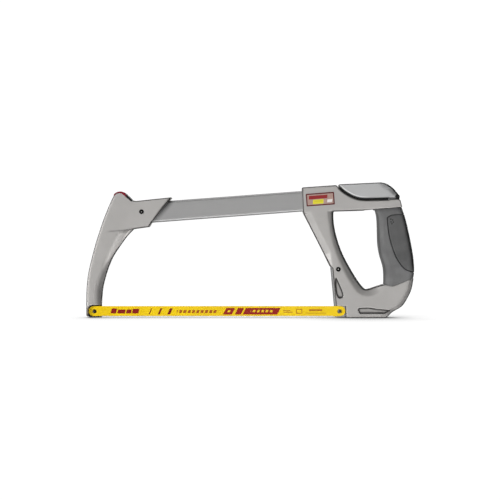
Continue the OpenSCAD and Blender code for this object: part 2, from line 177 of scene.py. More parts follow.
def outline(points: Array, x: Array, z: Array) -> Array:
    """Signed distance to a closed outline.

    The distance is to the nearest edge. A point is inside when a ray from it along X crosses an
    odd number of edges.

    Args:
        points: The outline's points.
        x: The places' X.
        z: Their Z.

    Returns:
        The distance, below zero inside.
    """
    best, _ = nearest(points, True, x, z)
    inside = np.zeros(best.shape, bool)
    for (ax, az), (bx, bz) in zip(points, np.roll(points, -1, axis=0)):
        if az != bz:
            crosses = (az > z) != (bz > z)
            inside ^= crosses & (x < ax + (z - az) * (bx - ax) / (bz - az))
    return np.where(inside, -best, best)


def beside(points: Points, x: Array, z: Array) -> Array:
    """Signed distance to an open line, above zero to the left of its direction."""
    best, side = nearest(np.asarray(points, float), False, x, z)
    return np.where(side >= 0, best, -best)


def ramp(low: float, high: float, value: Array) -> Array:
    """Goes smoothly from 0 at low to 1 at high."""
    t = np.clip((value - low) / (high - low), 0, 1)
    return t * t * (3 - 2 * t)


def close(distance: Array, full: float, none: float) -> Array:
    """1 within the first distance of a line, and 0 from the second one on."""
    return 1 - ramp(full, none, np.abs(distance))


def past(value: Array, soft: float) -> Array:
    """The value where it is above zero and nothing below, with a turn that is soft wide."""
    return 0.5 * (value + np.sqrt(value * value + soft * soft))


def both(a: Array, b: Array, radius: float) -> Array:
    """What two solids share, with their meeting edge rounded to the radius.

    Within the radius of both faces the distance is measured to a circle that touches each.
    """
    u, v = np.maximum(a + radius, 0), np.maximum(b + radius, 0)
    return np.minimum(np.maximum(a, b), -radius) + np.sqrt(u * u + v * v)


def cut(a: Array, b: Array, radius: float = 0.0) -> Array:
    """The first solid without the second."""
    return both(a, -b, radius) if radius else np.maximum(a, -b)


def bar(at: Point, radius: float, x: Array, z: Array) -> Array:
    """Distance to a round bar across the saw, below zero inside it."""
    return np.hypot(x - at[0], z - at[1]) - radius


# ---------------------------------------------------------------- meshes

CORNERS = np.array([(i, j, k) for i in (0, 1) for j in (0, 1) for k in (0, 1)])
EDGES = [(a, b) for a in range(8) for b in range(a + 1, 8) if abs(CORNERS[a] - CORNERS[b]).sum() == 1]


def from_faces(name: str, verts: Array, quads: NDArray[np.int64]) -> bpy.types.Object:
    """Makes a smooth-shaded mesh.

    Args:
        name: The piece's name.
        verts: Its points in millimetres.
        quads: Its four-sided faces, as numbers of points.

    Returns:
        The new object.
    """
    mesh = bpy.data.meshes.new(name)
    mesh.vertices.add(len(verts))
    mesh.vertices.foreach_set("co", (np.asarray(verts) * MM).astype(np.float32).ravel())
    mesh.loops.add(quads.size)
    mesh.loops.foreach_set("vertex_index", quads.astype(np.int32).ravel())
    mesh.polygons.add(len(quads))
    mesh.polygons.foreach_set("loop_start", np.arange(0, quads.size, 4, dtype=np.int32))
    mesh.update(calc_edges=True)
    mesh.polygons.foreach_set("use_smooth", np.ones(len(quads), bool))
    mesh.validate()
    made = bpy.data.objects.new(name, mesh)
    bpy.context.scene.collection.objects.link(made)
    return made


def skinned(name: str, solid: Field, low: Point, high: Point, cell: float) -> bpy.types.Object:
    """The surface of a solid that is given by its distance.

    The distance is sampled on a lattice. Each cell that the surface passes through gets one
    point, at the mean of the places where the cell's edges cross zero. Four cells round a
    crossed lattice edge make one face. Shading follows the distance's own slope. Each point
    stores how far it faces the saw's sides, which keeps the lines of painted shade off the
    faces across it.

    Args:
        name: The piece's name.
        solid: Gives the distance from X, Y and Z, below zero inside.
        low: Lowest corner of the solid in millimetres.
        high: Its highest corner.
        cell: The lattice's spacing.

    Returns:
        The new object.
    """
    axes = [np.arange(a - 1.37 * cell, b + 2.4 * cell, cell) for a, b in zip(low, high)]
    x, y, z = np.meshgrid(*axes, indexing="ij", sparse=True)
    shape = tuple(len(a) for a in axes)
    values = np.ascontiguousarray(np.broadcast_to(solid(x, y, z), shape))
    inside = values < 0
    span = [n - 1 for n in shape]

    def at_corner(grid: Array, c: Array) -> Array:
        """The grid's value at one corner of every cell."""
        return grid[c[0] : c[0] + span[0], c[1] : c[1] + span[1], c[2] : c[2] + span[2]]

    count = sum(at_corner(inside, c).astype(np.int8) for c in CORNERS)
    active = (count > 0) & (count < 8)
    sampled = np.stack([at_corner(values, c)[active] for c in CORNERS], 1)
    total, hits = np.zeros((len(sampled), 3)), np.zeros(len(sampled))
    for a, b in EDGES:
        fa, fb = sampled[:, a], sampled[:, b]
        crossed = (fa < 0) != (fb < 0)
        t = np.where(crossed, fa / np.where(crossed, fa - fb, 1), 0)
        total += (CORNERS[a] + t[:, None] * (CORNERS[b] - CORNERS[a])) * crossed[:, None]
        hits += crossed
    local = total / hits[:, None]
    verts = np.array([a[0] for a in axes]) + (np.argwhere(active) + local) * cell
    share = np.prod(np.where(CORNERS[None] == 1, local[:, None], 1 - local[:, None]), axis=2)
    slopes = [np.stack([at_corner(g, c)[active] for c in CORNERS], 1) for g in np.gradient(values)]
    normals = np.stack([(slope * share).sum(1) for slope in slopes], 1)
    normals /= np.maximum(np.linalg.norm(normals, axis=1, keepdims=True), 1e-9)
    index = np.full(active.shape, -1, np.int64)
    index[active] = np.arange(len(verts))
    faces = []
    for axis in range(3):
        order = (axis, (axis + 1) % 3, (axis + 2) % 3)
        side, cells = inside.transpose(order), index.transpose(order)
        first, second = side[:-1, 1:-1, 1:-1], side[1:, 1:-1, 1:-1]
        ring = np.stack([cells[:, :-1, :-1], cells[:, 1:, :-1], cells[:, 1:, 1:], cells[:, :-1, 1:]], -1)
        faces.append(ring[first & ~second])
        faces.append(ring[second & ~first][:, ::-1])
    made = from_faces(name, verts, np.vstack(faces))
    made.data.normals_split_custom_set_from_vertices(normals.astype(np.float32))
    give(made, "facing", ramp(0.06, 0.40, np.abs(normals[:, 1])))
    LOG.info("%s: %d points, %d faces", name, len(verts), sum(len(f) for f in faces))
    return made


def grid_faces(rows: int, columns: int, close_rows: bool, close_columns: bool) -> NDArray[np.int64]:
    """Faces of a grid of points.

    Args:
        rows: Number of its rows.
        columns: Number of points in each.
        close_rows: Whether the last row is joined to the first.
        close_columns: Whether each row's last point is joined to its first.

    Returns:
        The faces, as numbers of points.
    """
    i = np.arange(rows if close_rows else rows - 1)[:, None]
    j = np.arange(columns if close_columns else columns - 1)[None, :]
    i2, j2 = (i + 1) % rows, (j + 1) % columns
    ring = [i * columns + j, i2 * columns + j, i2 * columns + j2, i * columns + j2]
    return np.stack(ring, -1).reshape(-1, 4)


def turned(name: str, at: Point, profile: Points, sides: int) -> bpy.types.Object:
    """A round piece across the saw.

    Each profile point is a (radius, y) pair, carried round the line along Y through the centre.

    Args:
        name: The piece's name.
        at: The centre's X and Z.
        profile: The pairs, from the near end to the far one.
        sides: Number of points round the piece.

    Returns:
        The new object.
    """
    p = np.asarray(profile, float)
    a = np.linspace(0, 2 * math.pi, sides, endpoint=False)
    r, y = p[:, 0][:, None], p[:, 1][:, None]
    ring = np.stack([at[0] + r * np.cos(a), y + 0 * a, at[1] + r * np.sin(a)], -1)
    return from_faces(name, ring.reshape(-1, 3), grid_faces(len(p), sides, False, True)[:, ::-1])


def give(piece: bpy.types.Object, name: str, values: Array) -> None:
    """Stores one number for each point of a mesh."""
    layer = piece.data.attributes.new(name, "FLOAT", "POINT")
    layer.data.foreach_set("value", np.asarray(values, np.float32))


def places(piece: bpy.types.Object) -> tuple[Array, Array, Array]:
    """Reads a mesh's points.

    Args:
        piece: The mesh object.

    Returns:
        X, Y and Z of every point, in millimetres.
    """
    co = np.zeros(len(piece.data.vertices) * 3, np.float32)
    piece.data.vertices.foreach_get("co", co)
    return tuple(co.reshape(-1, 3).astype(float).T / MM)


# ---------------------------------------------------------------- shader graphs


class Graph:
    """A material's node tree, built from sockets that take arithmetic."""

    def __init__(self, name: str) -> None:
        """Starts a material with X, Y and Z in millimetres ready for use.

        Args:
            name: The material's name.
        """
        self.material = bpy.data.materials.new(name)
        self.material.use_nodes = True
        self.tree = self.material.node_tree
        self.tree.nodes.clear()
        coords = self.node("ShaderNodeTexCoord")
        scaled = self.node("ShaderNodeVectorMath", {0: coords.outputs["Object"]}, operation="SCALE")
        scaled.inputs["Scale"].default_value = 1 / MM
        self.place = Value(self, scaled.outputs[0])
        split = self.node("ShaderNodeSeparateXYZ", {0: self.place})
        self.x, self.y, self.z = (Value(self, o) for o in split.outputs)

    def node(self, kind: str, inputs: dict | None = None, **settings: object) -> bpy.types.Node:
        """Adds a node.

        Args:
            kind: The node's type.
            inputs: What goes into its inputs, by name or number: a socket, a Value or a constant.
            settings: The node's own settings.

        Returns:
            The new node.
        """
        made = self.tree.nodes.new(kind)
        for key, value in settings.items():
            setattr(made, key, value)
        for key, value in (inputs or {}).items():
            value = value.socket if isinstance(value, Value) else value
            if isinstance(value, bpy.types.NodeSocket):
                self.tree.links.new(value, made.inputs[key])
            else:
                made.inputs[key].default_value = value
        return made

    def value(self, output: int | str, kind: str, inputs: dict, **settings: object) -> "Value":
        """One output of a new node, which takes what the method above takes."""
        return Value(self, self.node(kind, inputs, **settings).outputs[output])

    def math(self, operation: str, *values: object) -> "Value":
        """A Math node's result."""
        return self.value(0, "ShaderNodeMath", dict(enumerate(values)), operation=operation)

    def stretched(self, x: float, y: float, z: float) -> "Value":
        """The place with each axis scaled by itself."""
        return self.value(0, "ShaderNodeVectorMath", {0: self.place, 1: (x, y, z)}, operation="MULTIPLY")

    def along(self, x: object, y: object, z: object) -> "Value":
        """A place from three numbers."""
        return self.value(0, "ShaderNodeCombineXYZ", {0: x, 1: y, 2: z})

    def noise(
        self, scale: float, detail: float = 2.0, place: "Value | None" = None, rough: float = 0.5
    ) -> "Value":
        """Noise from 0 to 1, with its scale per millimetre."""
        ins = {"Vector": place or self.place, "Scale": scale, "Detail": detail, "Roughness": rough}
        return self.value(0, "ShaderNodeTexNoise", ins)

    def stored(self, name: str) -> "Value":
        """A number stored on the mesh's points."""
        return self.value("Fac", "ShaderNodeAttribute", {}, attribute_name=name)

    def mix(self, share: object, a: object, b: object) -> "Value":
        """A colour between two others."""
        return self.value(2, "ShaderNodeMix", {0: share, 6: a, 7: b}, data_type="RGBA")

    def gap(self, x: float, z: float) -> "Value":
        """Distance from a line across the saw."""
        return self.math("SQRT", (self.x - x) * (self.x - x) + (self.z - z) * (self.z - z))

    def box(
        self,
        x: tuple[float, float],
        z: tuple[float, float],
        lean: float = 0.0,
        along: "Value | None" = None,
        up: "Value | None" = None,
        soft: float = 0.12,
    ) -> "Value":
        """A mask in the shape of a rectangle, or of a parallelogram whose ends lean.

        Args:
            x: Where it starts and ends.
            z: Its lower and upper edge.
            lean: How far its ends go back for each millimetre up.
            along: What is measured along it, in place of X.
            up: What is measured up it, in place of Z.
            soft: Half the width of its soft edge.

        Returns:
            1 inside and 0 outside.
        """
        u, v = along or self.x, up or self.z
        u = u - (v - (z[0] + z[1]) / 2) * lean
        return u.between(x[0], x[1], soft) * v.between(z[0], z[1], soft)

    def surface(self, **inputs: object) -> bpy.types.Material:
        """Ends the graph in one Principled shader.

        Args:
            inputs: What goes into the shader, by input name with _ for a space.

        Returns:
            The finished material.
        """
        named = {k.replace("_", " "): v for k, v in inputs.items()}
        shader = self.node("ShaderNodeBsdfPrincipled", named)
        out = self.node("ShaderNodeOutputMaterial")
        self.tree.links.new(shader.outputs[0], out.inputs[0])
        return self.material


class Value:
    """One socket of a graph, which takes +, - and *."""

    def __init__(self, graph: Graph, socket: bpy.types.NodeSocket) -> None:
        """Holds a socket and the graph that it belongs to."""
        self.graph, self.socket = graph, socket

    def __add__(self, other: object) -> "Value":
        """The sum, on either side."""
        return self.graph.math("ADD", self, other)

    __radd__ = __add__

    def __sub__(self, other: object) -> "Value":
        """This value less another."""
        return self.graph.math("SUBTRACT", self, other)

    def __rsub__(self, other: object) -> "Value":
        """Another value less this one."""
        return self.graph.math("SUBTRACT", other, self)

    def __mul__(self, other: object) -> "Value":
        """The product, on either side."""
        return self.graph.math("MULTIPLY", self, other)

    __rmul__ = __mul__

    def ramp(self, low: float, high: float) -> "Value":
        """Goes smoothly from 0 at low to 1 at high."""
        ins = {"Value": self, "From Min": low, "From Max": high}
        return self.graph.value(0, "ShaderNodeMapRange", ins, interpolation_type="SMOOTHSTEP")

    def below(self, low: float, high: float) -> "Value":
        """Goes smoothly from 1 at low to 0 at high."""
        return 1 - self.ramp(low, high)

    def between(self, low: float, high: float, soft: float) -> "Value":
        """1 between two values and 0 outside them."""
        return self.ramp(low - soft, low + soft) * self.below(high - soft, high + soft)

    def bump(self, height: float, strength: float = 1.0) -> "Value":
        """A normal from this value as a height in millimetres."""
        ins = {"Height": self, "Distance": height * MM, "Strength": strength}
        return self.graph.value(0, "ShaderNodeBump", ins)

    def most(self, *others: object) -> "Value":
        """The largest of this value and the others."""
        return functools.reduce(lambda a, b: a.graph.math("MAXIMUM", a, b), others, self)


def grey(level: float, warm: float = 0.0) -> Colour:
    """A linear colour of that level, a little warmer where asked."""
    return (level * (1 + warm), level, level * (1 - warm), 1.0)


# ---------------------------------------------------------------- finishes


@dataclass(frozen=True)
class Cast:
    """Satin paint over a sand-fine casting, with slight patches.

    Its meshes store "edge", the distance from the casting's outline, whose rim gets painted shade.
    "line" holds further lines of painted shade, "sunk" painted half shade in hollows and on faces
    turned from the light, "worn" bands of painted highlight, and "facing" how far a place faces
    the saw's sides.

    Args:
        name: The material's name.
        level: How light the paint is.
        warm: How much warmer than grey it is.
        roughness: How matt it is.
        metallic: How much it shines as metal.
        rim: How strong the painted shade along the rim is.
    """

    name: str
    level: float = 0.40
    warm: float = 0.035
    roughness: float = 0.42
    metallic: float = 0.25
    rim: float = 0.85

    def shade(self, factor: float) -> Colour:
        """The paint's own colour, lighter or darker by the factor."""
        return grey(self.level * factor, self.warm)

    def make(self) -> bpy.types.Material:
        """Builds the material.

        Returns:
            The material.
        """
        g = Graph(self.name)
        patches = g.noise(0.035, 3).ramp(0.32, 0.68)
        grain = g.noise(2.6, 3, rough=0.7)
        specks = g.noise(1.1, 2).ramp(0.70, 0.78)
        # near_rim marks the rim, which gets painted shade.
        near_rim = g.stored("edge").below(0.5, 1.6)
        tone = g.mix(patches, self.shade(0.955), self.shade(1.03))
        tone = g.mix(grain * 0.16, tone, self.shade(0.72))
        tone = g.mix(specks * 0.12, tone, self.shade(1.35))
        # Painted half shade in hollows and on faces turned from the light.
        tone = g.mix(g.stored("sunk") * 0.45, tone, self.shade(0.45))
        # Painted highlight in bands where the surface would catch the light.
        tone = g.mix(g.stored("painted_highlight") * 0.8, tone, self.shade(min(2.0, 0.85 / self.level)))
        # Painted shade along the rim and the stored lines: near black, fully metallic and without coat.
        drawn = (near_rim * self.rim).most(g.stored("line") * 0.97) * g.stored("facing")
        tone = g.mix(drawn, tone, self.shade(0.03))
        height = grain + g.noise(0.5, 2) * 0.6
        return g.surface(
            Base_Color=tone,
            Roughness=self.roughness + (grain - 0.5) * 0.16 + patches * 0.05 + near_rim * 0.1,
            Metallic=self.metallic + drawn * (1 - self.metallic),
            Coat_Weight=0.12 * (1 - drawn),
            Coat_Roughness=0.35,
            Normal=height.bump(0.035, 0.6),
        )


@dataclass(frozen=True)
class Drawn:
    """Anodised drawn tube: fine lines along it, small handling marks, and shade by the arm.

    Args:
        name: The material's name.
        middle: The tube's centre in X and Z.
        tilt: How far the tube leans, in radians.
        mouth: The line down the arm's mouth, from its top.
        half: Half the tube's height.
        level: How light the tube is.
    """

    name: str
    middle: tuple[float, float]
    tilt: float
    mouth: Array
    half: float = 12.5
    level: float = 0.325

    def make(self) -> bpy.types.Material:
        """Builds the material.

        Returns:
            The material.
        """
        g = Graph(self.name)
        sine, cosine = math.sin(self.tilt), math.cos(self.tilt)
        across, along = g.z * cosine - g.x * sine, g.x * cosine + g.z * sine
        lines = g.noise(1.0, 3, g.along(along * 0.02, g.y * 5.0, across * 5.0), 0.65)
        marks = g.noise(1.0, 2, g.along(along * 0.25, g.y, across * 2.2)).ramp(0.70, 0.74)
        tone = g.mix(lines, grey(self.level * 0.9, 0.01), grey(self.level * 1.08, 0.01))
        tone = g.mix(marks * 0.22, tone, grey(self.level * 1.5))
        tone = g.mix(g.noise(0.02, 2).ramp(0.35, 0.65) * 0.25, tone, grey(self.level * 0.92))
        height = across - (self.middle[1] * cosine - self.middle[0] * sine)
        # Painted highlight along the lower rounded edge, standing for the floor's reflection.
        low_edge = height.between(0.9 - self.half, 2.1 - self.half, 0.3)
        tone = g.mix(low_edge * 0.5, tone, grey(self.level * 2.0))
        # Painted shade along the top and bottom rounded edges.
        side = g.math("ABSOLUTE", g.y).ramp(3.4, 5.6)
        rim = g.math("ABSOLUTE", height).ramp(self.half - 0.9, self.half - 0.2)
        tone = g.mix(rim * side * 0.75, tone, grey(self.level * 0.15))
        tone = g.mix(self.arm_shade(g), tone, grey(self.level * 0.1))
        return g.surface(
            Base_Color=tone,
            Roughness=0.42 + (lines - 0.5) * 0.2 + marks * 0.08,
            Metallic=0.3,
            Normal=lines.bump(0.012, 0.5),
        )

    def arm_shade(self, g: Graph) -> Value:
        """Shade on the tube by the arm's mouth, which fades along the tube and down its side.

        Args:
            g: The material's graph.

        Returns:
            1 in full shade and 0 in none.
        """
        (top_x, top_z), (low_x, low_z) = self.mouth[:2]
        size = math.hypot(top_x - low_x, top_z - low_z)
        run, rise = (top_x - low_x) / size, (top_z - low_z) / size
        beyond = g.x * rise - g.z * run - (low_x * rise - low_z * run)
        return beyond.below(0.5, 7.5) * (g.z.ramp(top_z - 30, top_z - 4) * 0.5 + 0.38)


@dataclass(frozen=True)
class Rubber:
    """Moulded rubber with a fine pebble, rubbed smoother and darker in patches.

    Args:
        name: The material's name.
        level: How light the rubber is.
        pebble: How fine its pebble is, in bumps for each millimetre.
        roughness: How matt it is.
        moulded: Whether its meshes store how near the grip's rear, hole side, top and seam are.
        dimples: Places of small dimples, in X and Z.
    """

    name: str
    level: float
    pebble: float = 1.9
    roughness: float = 0.62
    moulded: bool = False
    dimples: Points = ()

    def shade_and_seam(self, g: Graph) -> Value:
        """Painted shade in bands where the grip turns away from the sides, and the dark seam round the panel.

        Args:
            g: The material's graph.

        Returns:
            1 where the rubber is darkest and 0 where it has its own colour.
        """
        rear = g.stored("rear")
        bands = (rear.below(0.3, 7.0) * 0.55).most(
            rear.below(2.2, 5.2) * 0.97,
            g.stored("hole").below(0.2, 2.4) * 0.45,
            g.stored("top").below(0.2, 5.5) * 0.4,
        )
        return (bands * g.stored("facing")).most(g.stored("seam").below(0.4, 1.0) * 0.6)

    def make(self) -> bpy.types.Material:
        """Builds the material.

        Returns:
            The material.
        """
        g = Graph(self.name)
        cells = g.value("Distance", "ShaderNodeTexVoronoi", {"Vector": g.place, "Scale": self.pebble})
        patches = g.noise(0.06, 3).ramp(0.3, 0.7)
        dust = g.noise(0.9, 3).ramp(0.62, 0.74)
        tone = g.mix(patches, grey(self.level * 0.86), grey(self.level * 1.08))
        tone = g.mix(dust * 0.10, tone, grey(self.level * 2.2))
        height = cells.ramp(0.0, 0.55)
        if self.moulded:
            # Painted shade where the grip turns away, with the dark seam round the panel.
            tone = g.mix(self.shade_and_seam(g), tone, grey(self.level * 0.03))
        if len(self.dimples):
            # Painted shade in the dimples, which the bump also sinks.
            first, *rest = (g.gap(x, z).below(0.5, 1.15) for x, z in self.dimples)
            spots = first.most(*rest)
            tone = g.mix(spots * 0.85, tone, grey(self.level * 0.15))
            height = height - spots * 3.0
        gloss = 0.2 if self.moulded else 0.08
        return g.surface(
            Base_Color=tone,
            Roughness=self.roughness + (height - 0.5) * 0.10 - patches * 0.06,
            Specular_IOR_Level=gloss,
            Sheen_Weight=gloss / 3,
            Sheen_Roughness=0.5,
            Normal=height.bump(0.05, 0.7),
        )


@dataclass(frozen=True)
class Steel:
    """Turned or ground steel, bright or blackened, with rings from the tool.

    Args:
        name: The material's name.
        level: How light the steel is.
        metallic: How much it shines as metal.
        roughness: How matt it is.
        specular: How strongly it shines where it isn't metal.
    """

    name: str
    level: float
    metallic: float
    roughness: float
    specular: float = 0.5

    def make(self) -> bpy.types.Material:
        """Builds the material.

        Returns:
            The material.
        """
        g = Graph(self.name)
        fine = g.noise(3.0, 3, g.stretched(1.0, 6.0, 1.0))
        stain = g.noise(0.35, 3).ramp(0.45, 0.75)
        tone = g.mix(fine, grey(self.level * 0.88), grey(self.level * 1.1))
        tone = g.mix(stain * 0.3, tone, grey(self.level * 0.6, 0.05))
        return g.surface(
            Base_Color=tone,
            Roughness=self.roughness + (fine - 0.5) * 0.2 + stain * 0.12,
            Metallic=self.metallic,
            Specular_IOR_Level=self.specular,
            Normal=fine.bump(0.01, 0.5),
        )


@dataclass(frozen=True)
class NoseStrip:
    """Rubber strip that is dark red over the nose and black down its rear slope.

    Args:
        name: The material's name.
        turn_x: Where red turns to black.
    """

    name: str
    turn_x: float

    def make(self) -> bpy.types.Material:
        """Builds the material.

        Returns:
            The material.
        """
        g = Graph(self.name)
        grain = g.noise(2.2, 3)
        red = (g.x + (grain - 0.5) * 2.0).below(self.turn_x - 1.5, self.turn_x + 2.0)
        tone = g.mix(red, grey(0.008), (0.20, 0.005, 0.018, 1))
        tone = g.mix(g.noise(0.7, 2).ramp(0.6, 0.8) * 0.2, tone, grey(0.12))
        return g.surface(
            Base_Color=tone,
            Roughness=0.45 + grain * 0.2,
            Specular_IOR_Level=0.2,
            Normal=grain.bump(0.03, 0.6),
        )


@dataclass(frozen=True)
class BladePaint:
    """Gloss yellow blade with plain printed shapes, bare teeth and scuffed edges.

    Args:
        name: The material's name.
        low: Height of the teeth's tips.
        high: Height of the blade's back.
        front_x: Where the front hole is.
        rear_x: Where the rear hole is.
    """

    name: str
    low: float
    high: float
    front_x: float
    rear_x: float

    RED = (0.28, 0.009, 0.004, 1)
    BLOCK_RED = (0.23, 0.009, 0.004, 1)
    DARK_RED = (0.17, 0.010, 0.005, 1)
    YELLOW = (0.90, 0.64, 0.02, 1)

    def shapes(self, g: Graph, spans: Points, lean: float) -> Value:
        """The printed shapes of one colour.

        Args:
            g: The material's graph.
            spans: Start and end of each shape in X, then its lower and upper edge from the middle.
            lean: How far the shapes' ends lean.

        Returns:
            1 on the shapes and 0 elsewhere.
        """
        mid = (self.low + self.high) / 2 + 0.2
        first, *rest = (g.box((a, b), (mid + low, mid + high), lean) for a, b, low, high in spans)
        return first.most(*rest)

    def print_on(self, g: Graph, tone: Value) -> Value:
        """Prints the blocks, the row of dashes, the slashes, the flag, the ruled box and the bars.

        Args:
            g: The material's graph.
            tone: The bare paint's colour.

        Returns:
            The colour with the print on it.
        """
        beat = g.math("FRACT", (g.x - g.z * 0.3 + 300.0) * 0.19)
        strokes = ((-122.4, 0.7), (-110.6, 1.2), (-98.4, 1.7))
        slashes = [(x - half, x + half, -3.9, 3.6) for x, half in strokes]
        flag = [(-31.5, -20.5, -4.0, 4.0), (-17.0, -9.5, -4.0, 4.0), (-7.5, 35.0, -4.0, 4.0)]
        cut_out = self.shapes(g, [(-27.6, -24.6, -1.2, 1.2)], 0.5)
        dashes = self.shapes(g, [(0.5, 29.0, -1.2, 1.5)], 0.3) * beat.between(0.15, 0.72, 0.05)
        upper_bars = [(40.5, 52.0, -1.7, -0.7), (40.5, 49.0, 0.2, 1.2)]
        ruled_box = [(56.0, 63.5, -2.9, -2.1), (56.0, 63.5, 1.9, 2.9), (56.0, 57.0, -2.9, 2.9),
                     (62.5, 63.5, -2.9, 2.9)]
        rear_bars = [(68.0, 93.0, -2.6, -2.0), (72.0, 88.0, 0.4, 2.4)]
        blocks = [(-170.5, -163.8, -2.7, 3.4), (-162.6, -153.0, -2.7, 2.1), (-151.8, -145.6, -2.7, 2.1),
                  (-144.4, -136.5, -2.7, 3.0)]
        row = self.shapes(g, [(-90.0, -41.0, -2.2, 1.5)], 0.0) * beat.between(0.06, 0.72, 0.06)
        tone = g.mix(self.shapes(g, slashes, 0.45), tone, self.DARK_RED)
        tone = g.mix(self.shapes(g, flag, 0.5), tone, self.RED)
        tone = g.mix(cut_out.most(dashes * 0.8), tone, self.YELLOW)
        tone = g.mix(self.shapes(g, upper_bars + ruled_box + rear_bars, 0.0) * 0.75, tone, self.RED)
        tone = g.mix(self.shapes(g, blocks, 0.25), tone, self.BLOCK_RED)
        return g.mix(row * 0.85, tone, self.RED)

    def make(self) -> bpy.types.Material:
        """Builds the material.

        Returns:
            The material.
        """
        g = Graph(self.name)
        scuff = g.noise(1.0, 3, g.stretched(0.12, 1.0, 2.4)).ramp(0.66, 0.74)
        patches = g.noise(0.03, 3).ramp(0.35, 0.65)
        tone = self.print_on(g, g.mix(patches, (0.78, 0.52, 0.002, 1), (0.84, 0.58, 0.003, 1)))
        up = g.z + (g.noise(0.8, 2) - 0.5) * 0.5
        bare = up.below(self.low + 0.7, self.low + 1.2).most(scuff * 0.15)
        bare = bare * g.x.between(self.front_x + 8, self.rear_x - 8, 0.6)
        tone = g.mix(bare, tone, grey(0.55, 0.06))
        # Painted shade in the gap round each blade peg in its hole.
        front, rear = (g.gap(x, PEG_Z).between(1.2, 2.6, 0.12) for x in (self.front_x, self.rear_x))
        tone = g.mix(front.most(rear) * 0.85, tone, grey(0.02))
        return g.surface(
            Base_Color=tone,
            Roughness=0.27 + g.noise(0.5, 3) * 0.10 + scuff * 0.15,
            Metallic=bare * 0.8,
            Specular_IOR_Level=0.2,
            Coat_Weight=0.1,
            Coat_Roughness=0.2,
            Normal=g.noise(1.4, 3).bump(0.01, 0.4),
        )


@dataclass(frozen=True)
class LabelPrint:
    """Glossy label: a dark frame line, a red bar, a yellow patch and a pale mark.

    Args:
        name: The material's name.
        centre: The label's middle in X and Z.
        tilt: How far it leans with the tube, in radians.
        half: Half its length and half its height.
        frame_line: Width of the dark line round it.
    """

    name: str
    centre: tuple[float, float]
    tilt: float
    half: tuple[float, float] = (17.25, 7.7)
    frame_line: float = 1.5

    def make(self) -> bpy.types.Material:
        """Builds the material, with each patch's place measured from the label's middle.

        Returns:
            The material.
        """
        g = Graph(self.name)
        dx, dz = g.x - self.centre[0], g.z - self.centre[1]
        u = dx * math.cos(self.tilt) + dz * math.sin(self.tilt)
        v = dz * math.cos(self.tilt) - dx * math.sin(self.tilt)
        w, h = (size - self.frame_line for size in self.half)
        tone = g.mix(g.noise(0.3, 3).ramp(0.3, 0.7), (0.37, 0.24, 0.20, 1), (0.42, 0.28, 0.24, 1))
        for x, z, lean, soft, strength, colour in (
            ((-13.8, 8.8), (0.5, 4.9), 0.12, 0.35, 1.0, (0.26, 0.006, 0.008, 1)),
            ((-9.2, 3.8), (-5.4, -0.2), 0.10, 0.5, 1.0, (0.70, 0.62, 0.02, 1)),
            ((-7.5, 2.5), (-2.6, -1.9), 0.10, 0.25, 0.5, (0.45, 0.33, 0.02, 1)),
            ((8.3, 14.4), (-4.4, -0.9), 0.2, 0.3, 0.85, (0.78, 0.76, 0.74, 1)),
        ):
            tone = g.mix(g.box(x, z, lean, u, v, soft) * strength, tone, colour)
        tone = g.mix(1 - g.box((-w, w), (-h, h), 0.0, u, v, 0.2), tone, (0.09, 0.004, 0.007, 1))
        return g.surface(
            Base_Color=tone,
            Roughness=0.24 + g.noise(0.8, 3) * 0.14,
            Specular_IOR_Level=0.25,
            Coat_Weight=0.1,
            Coat_Roughness=0.2,
            Normal=g.noise(0.6, 2).bump(0.02, 0.4),
        )


# ---------------------------------------------------------------- shared places
#
# In every class below, a method that takes x, y and z gets the places' coordinates in
# millimetres, and the distance that it returns is below zero inside the solid.


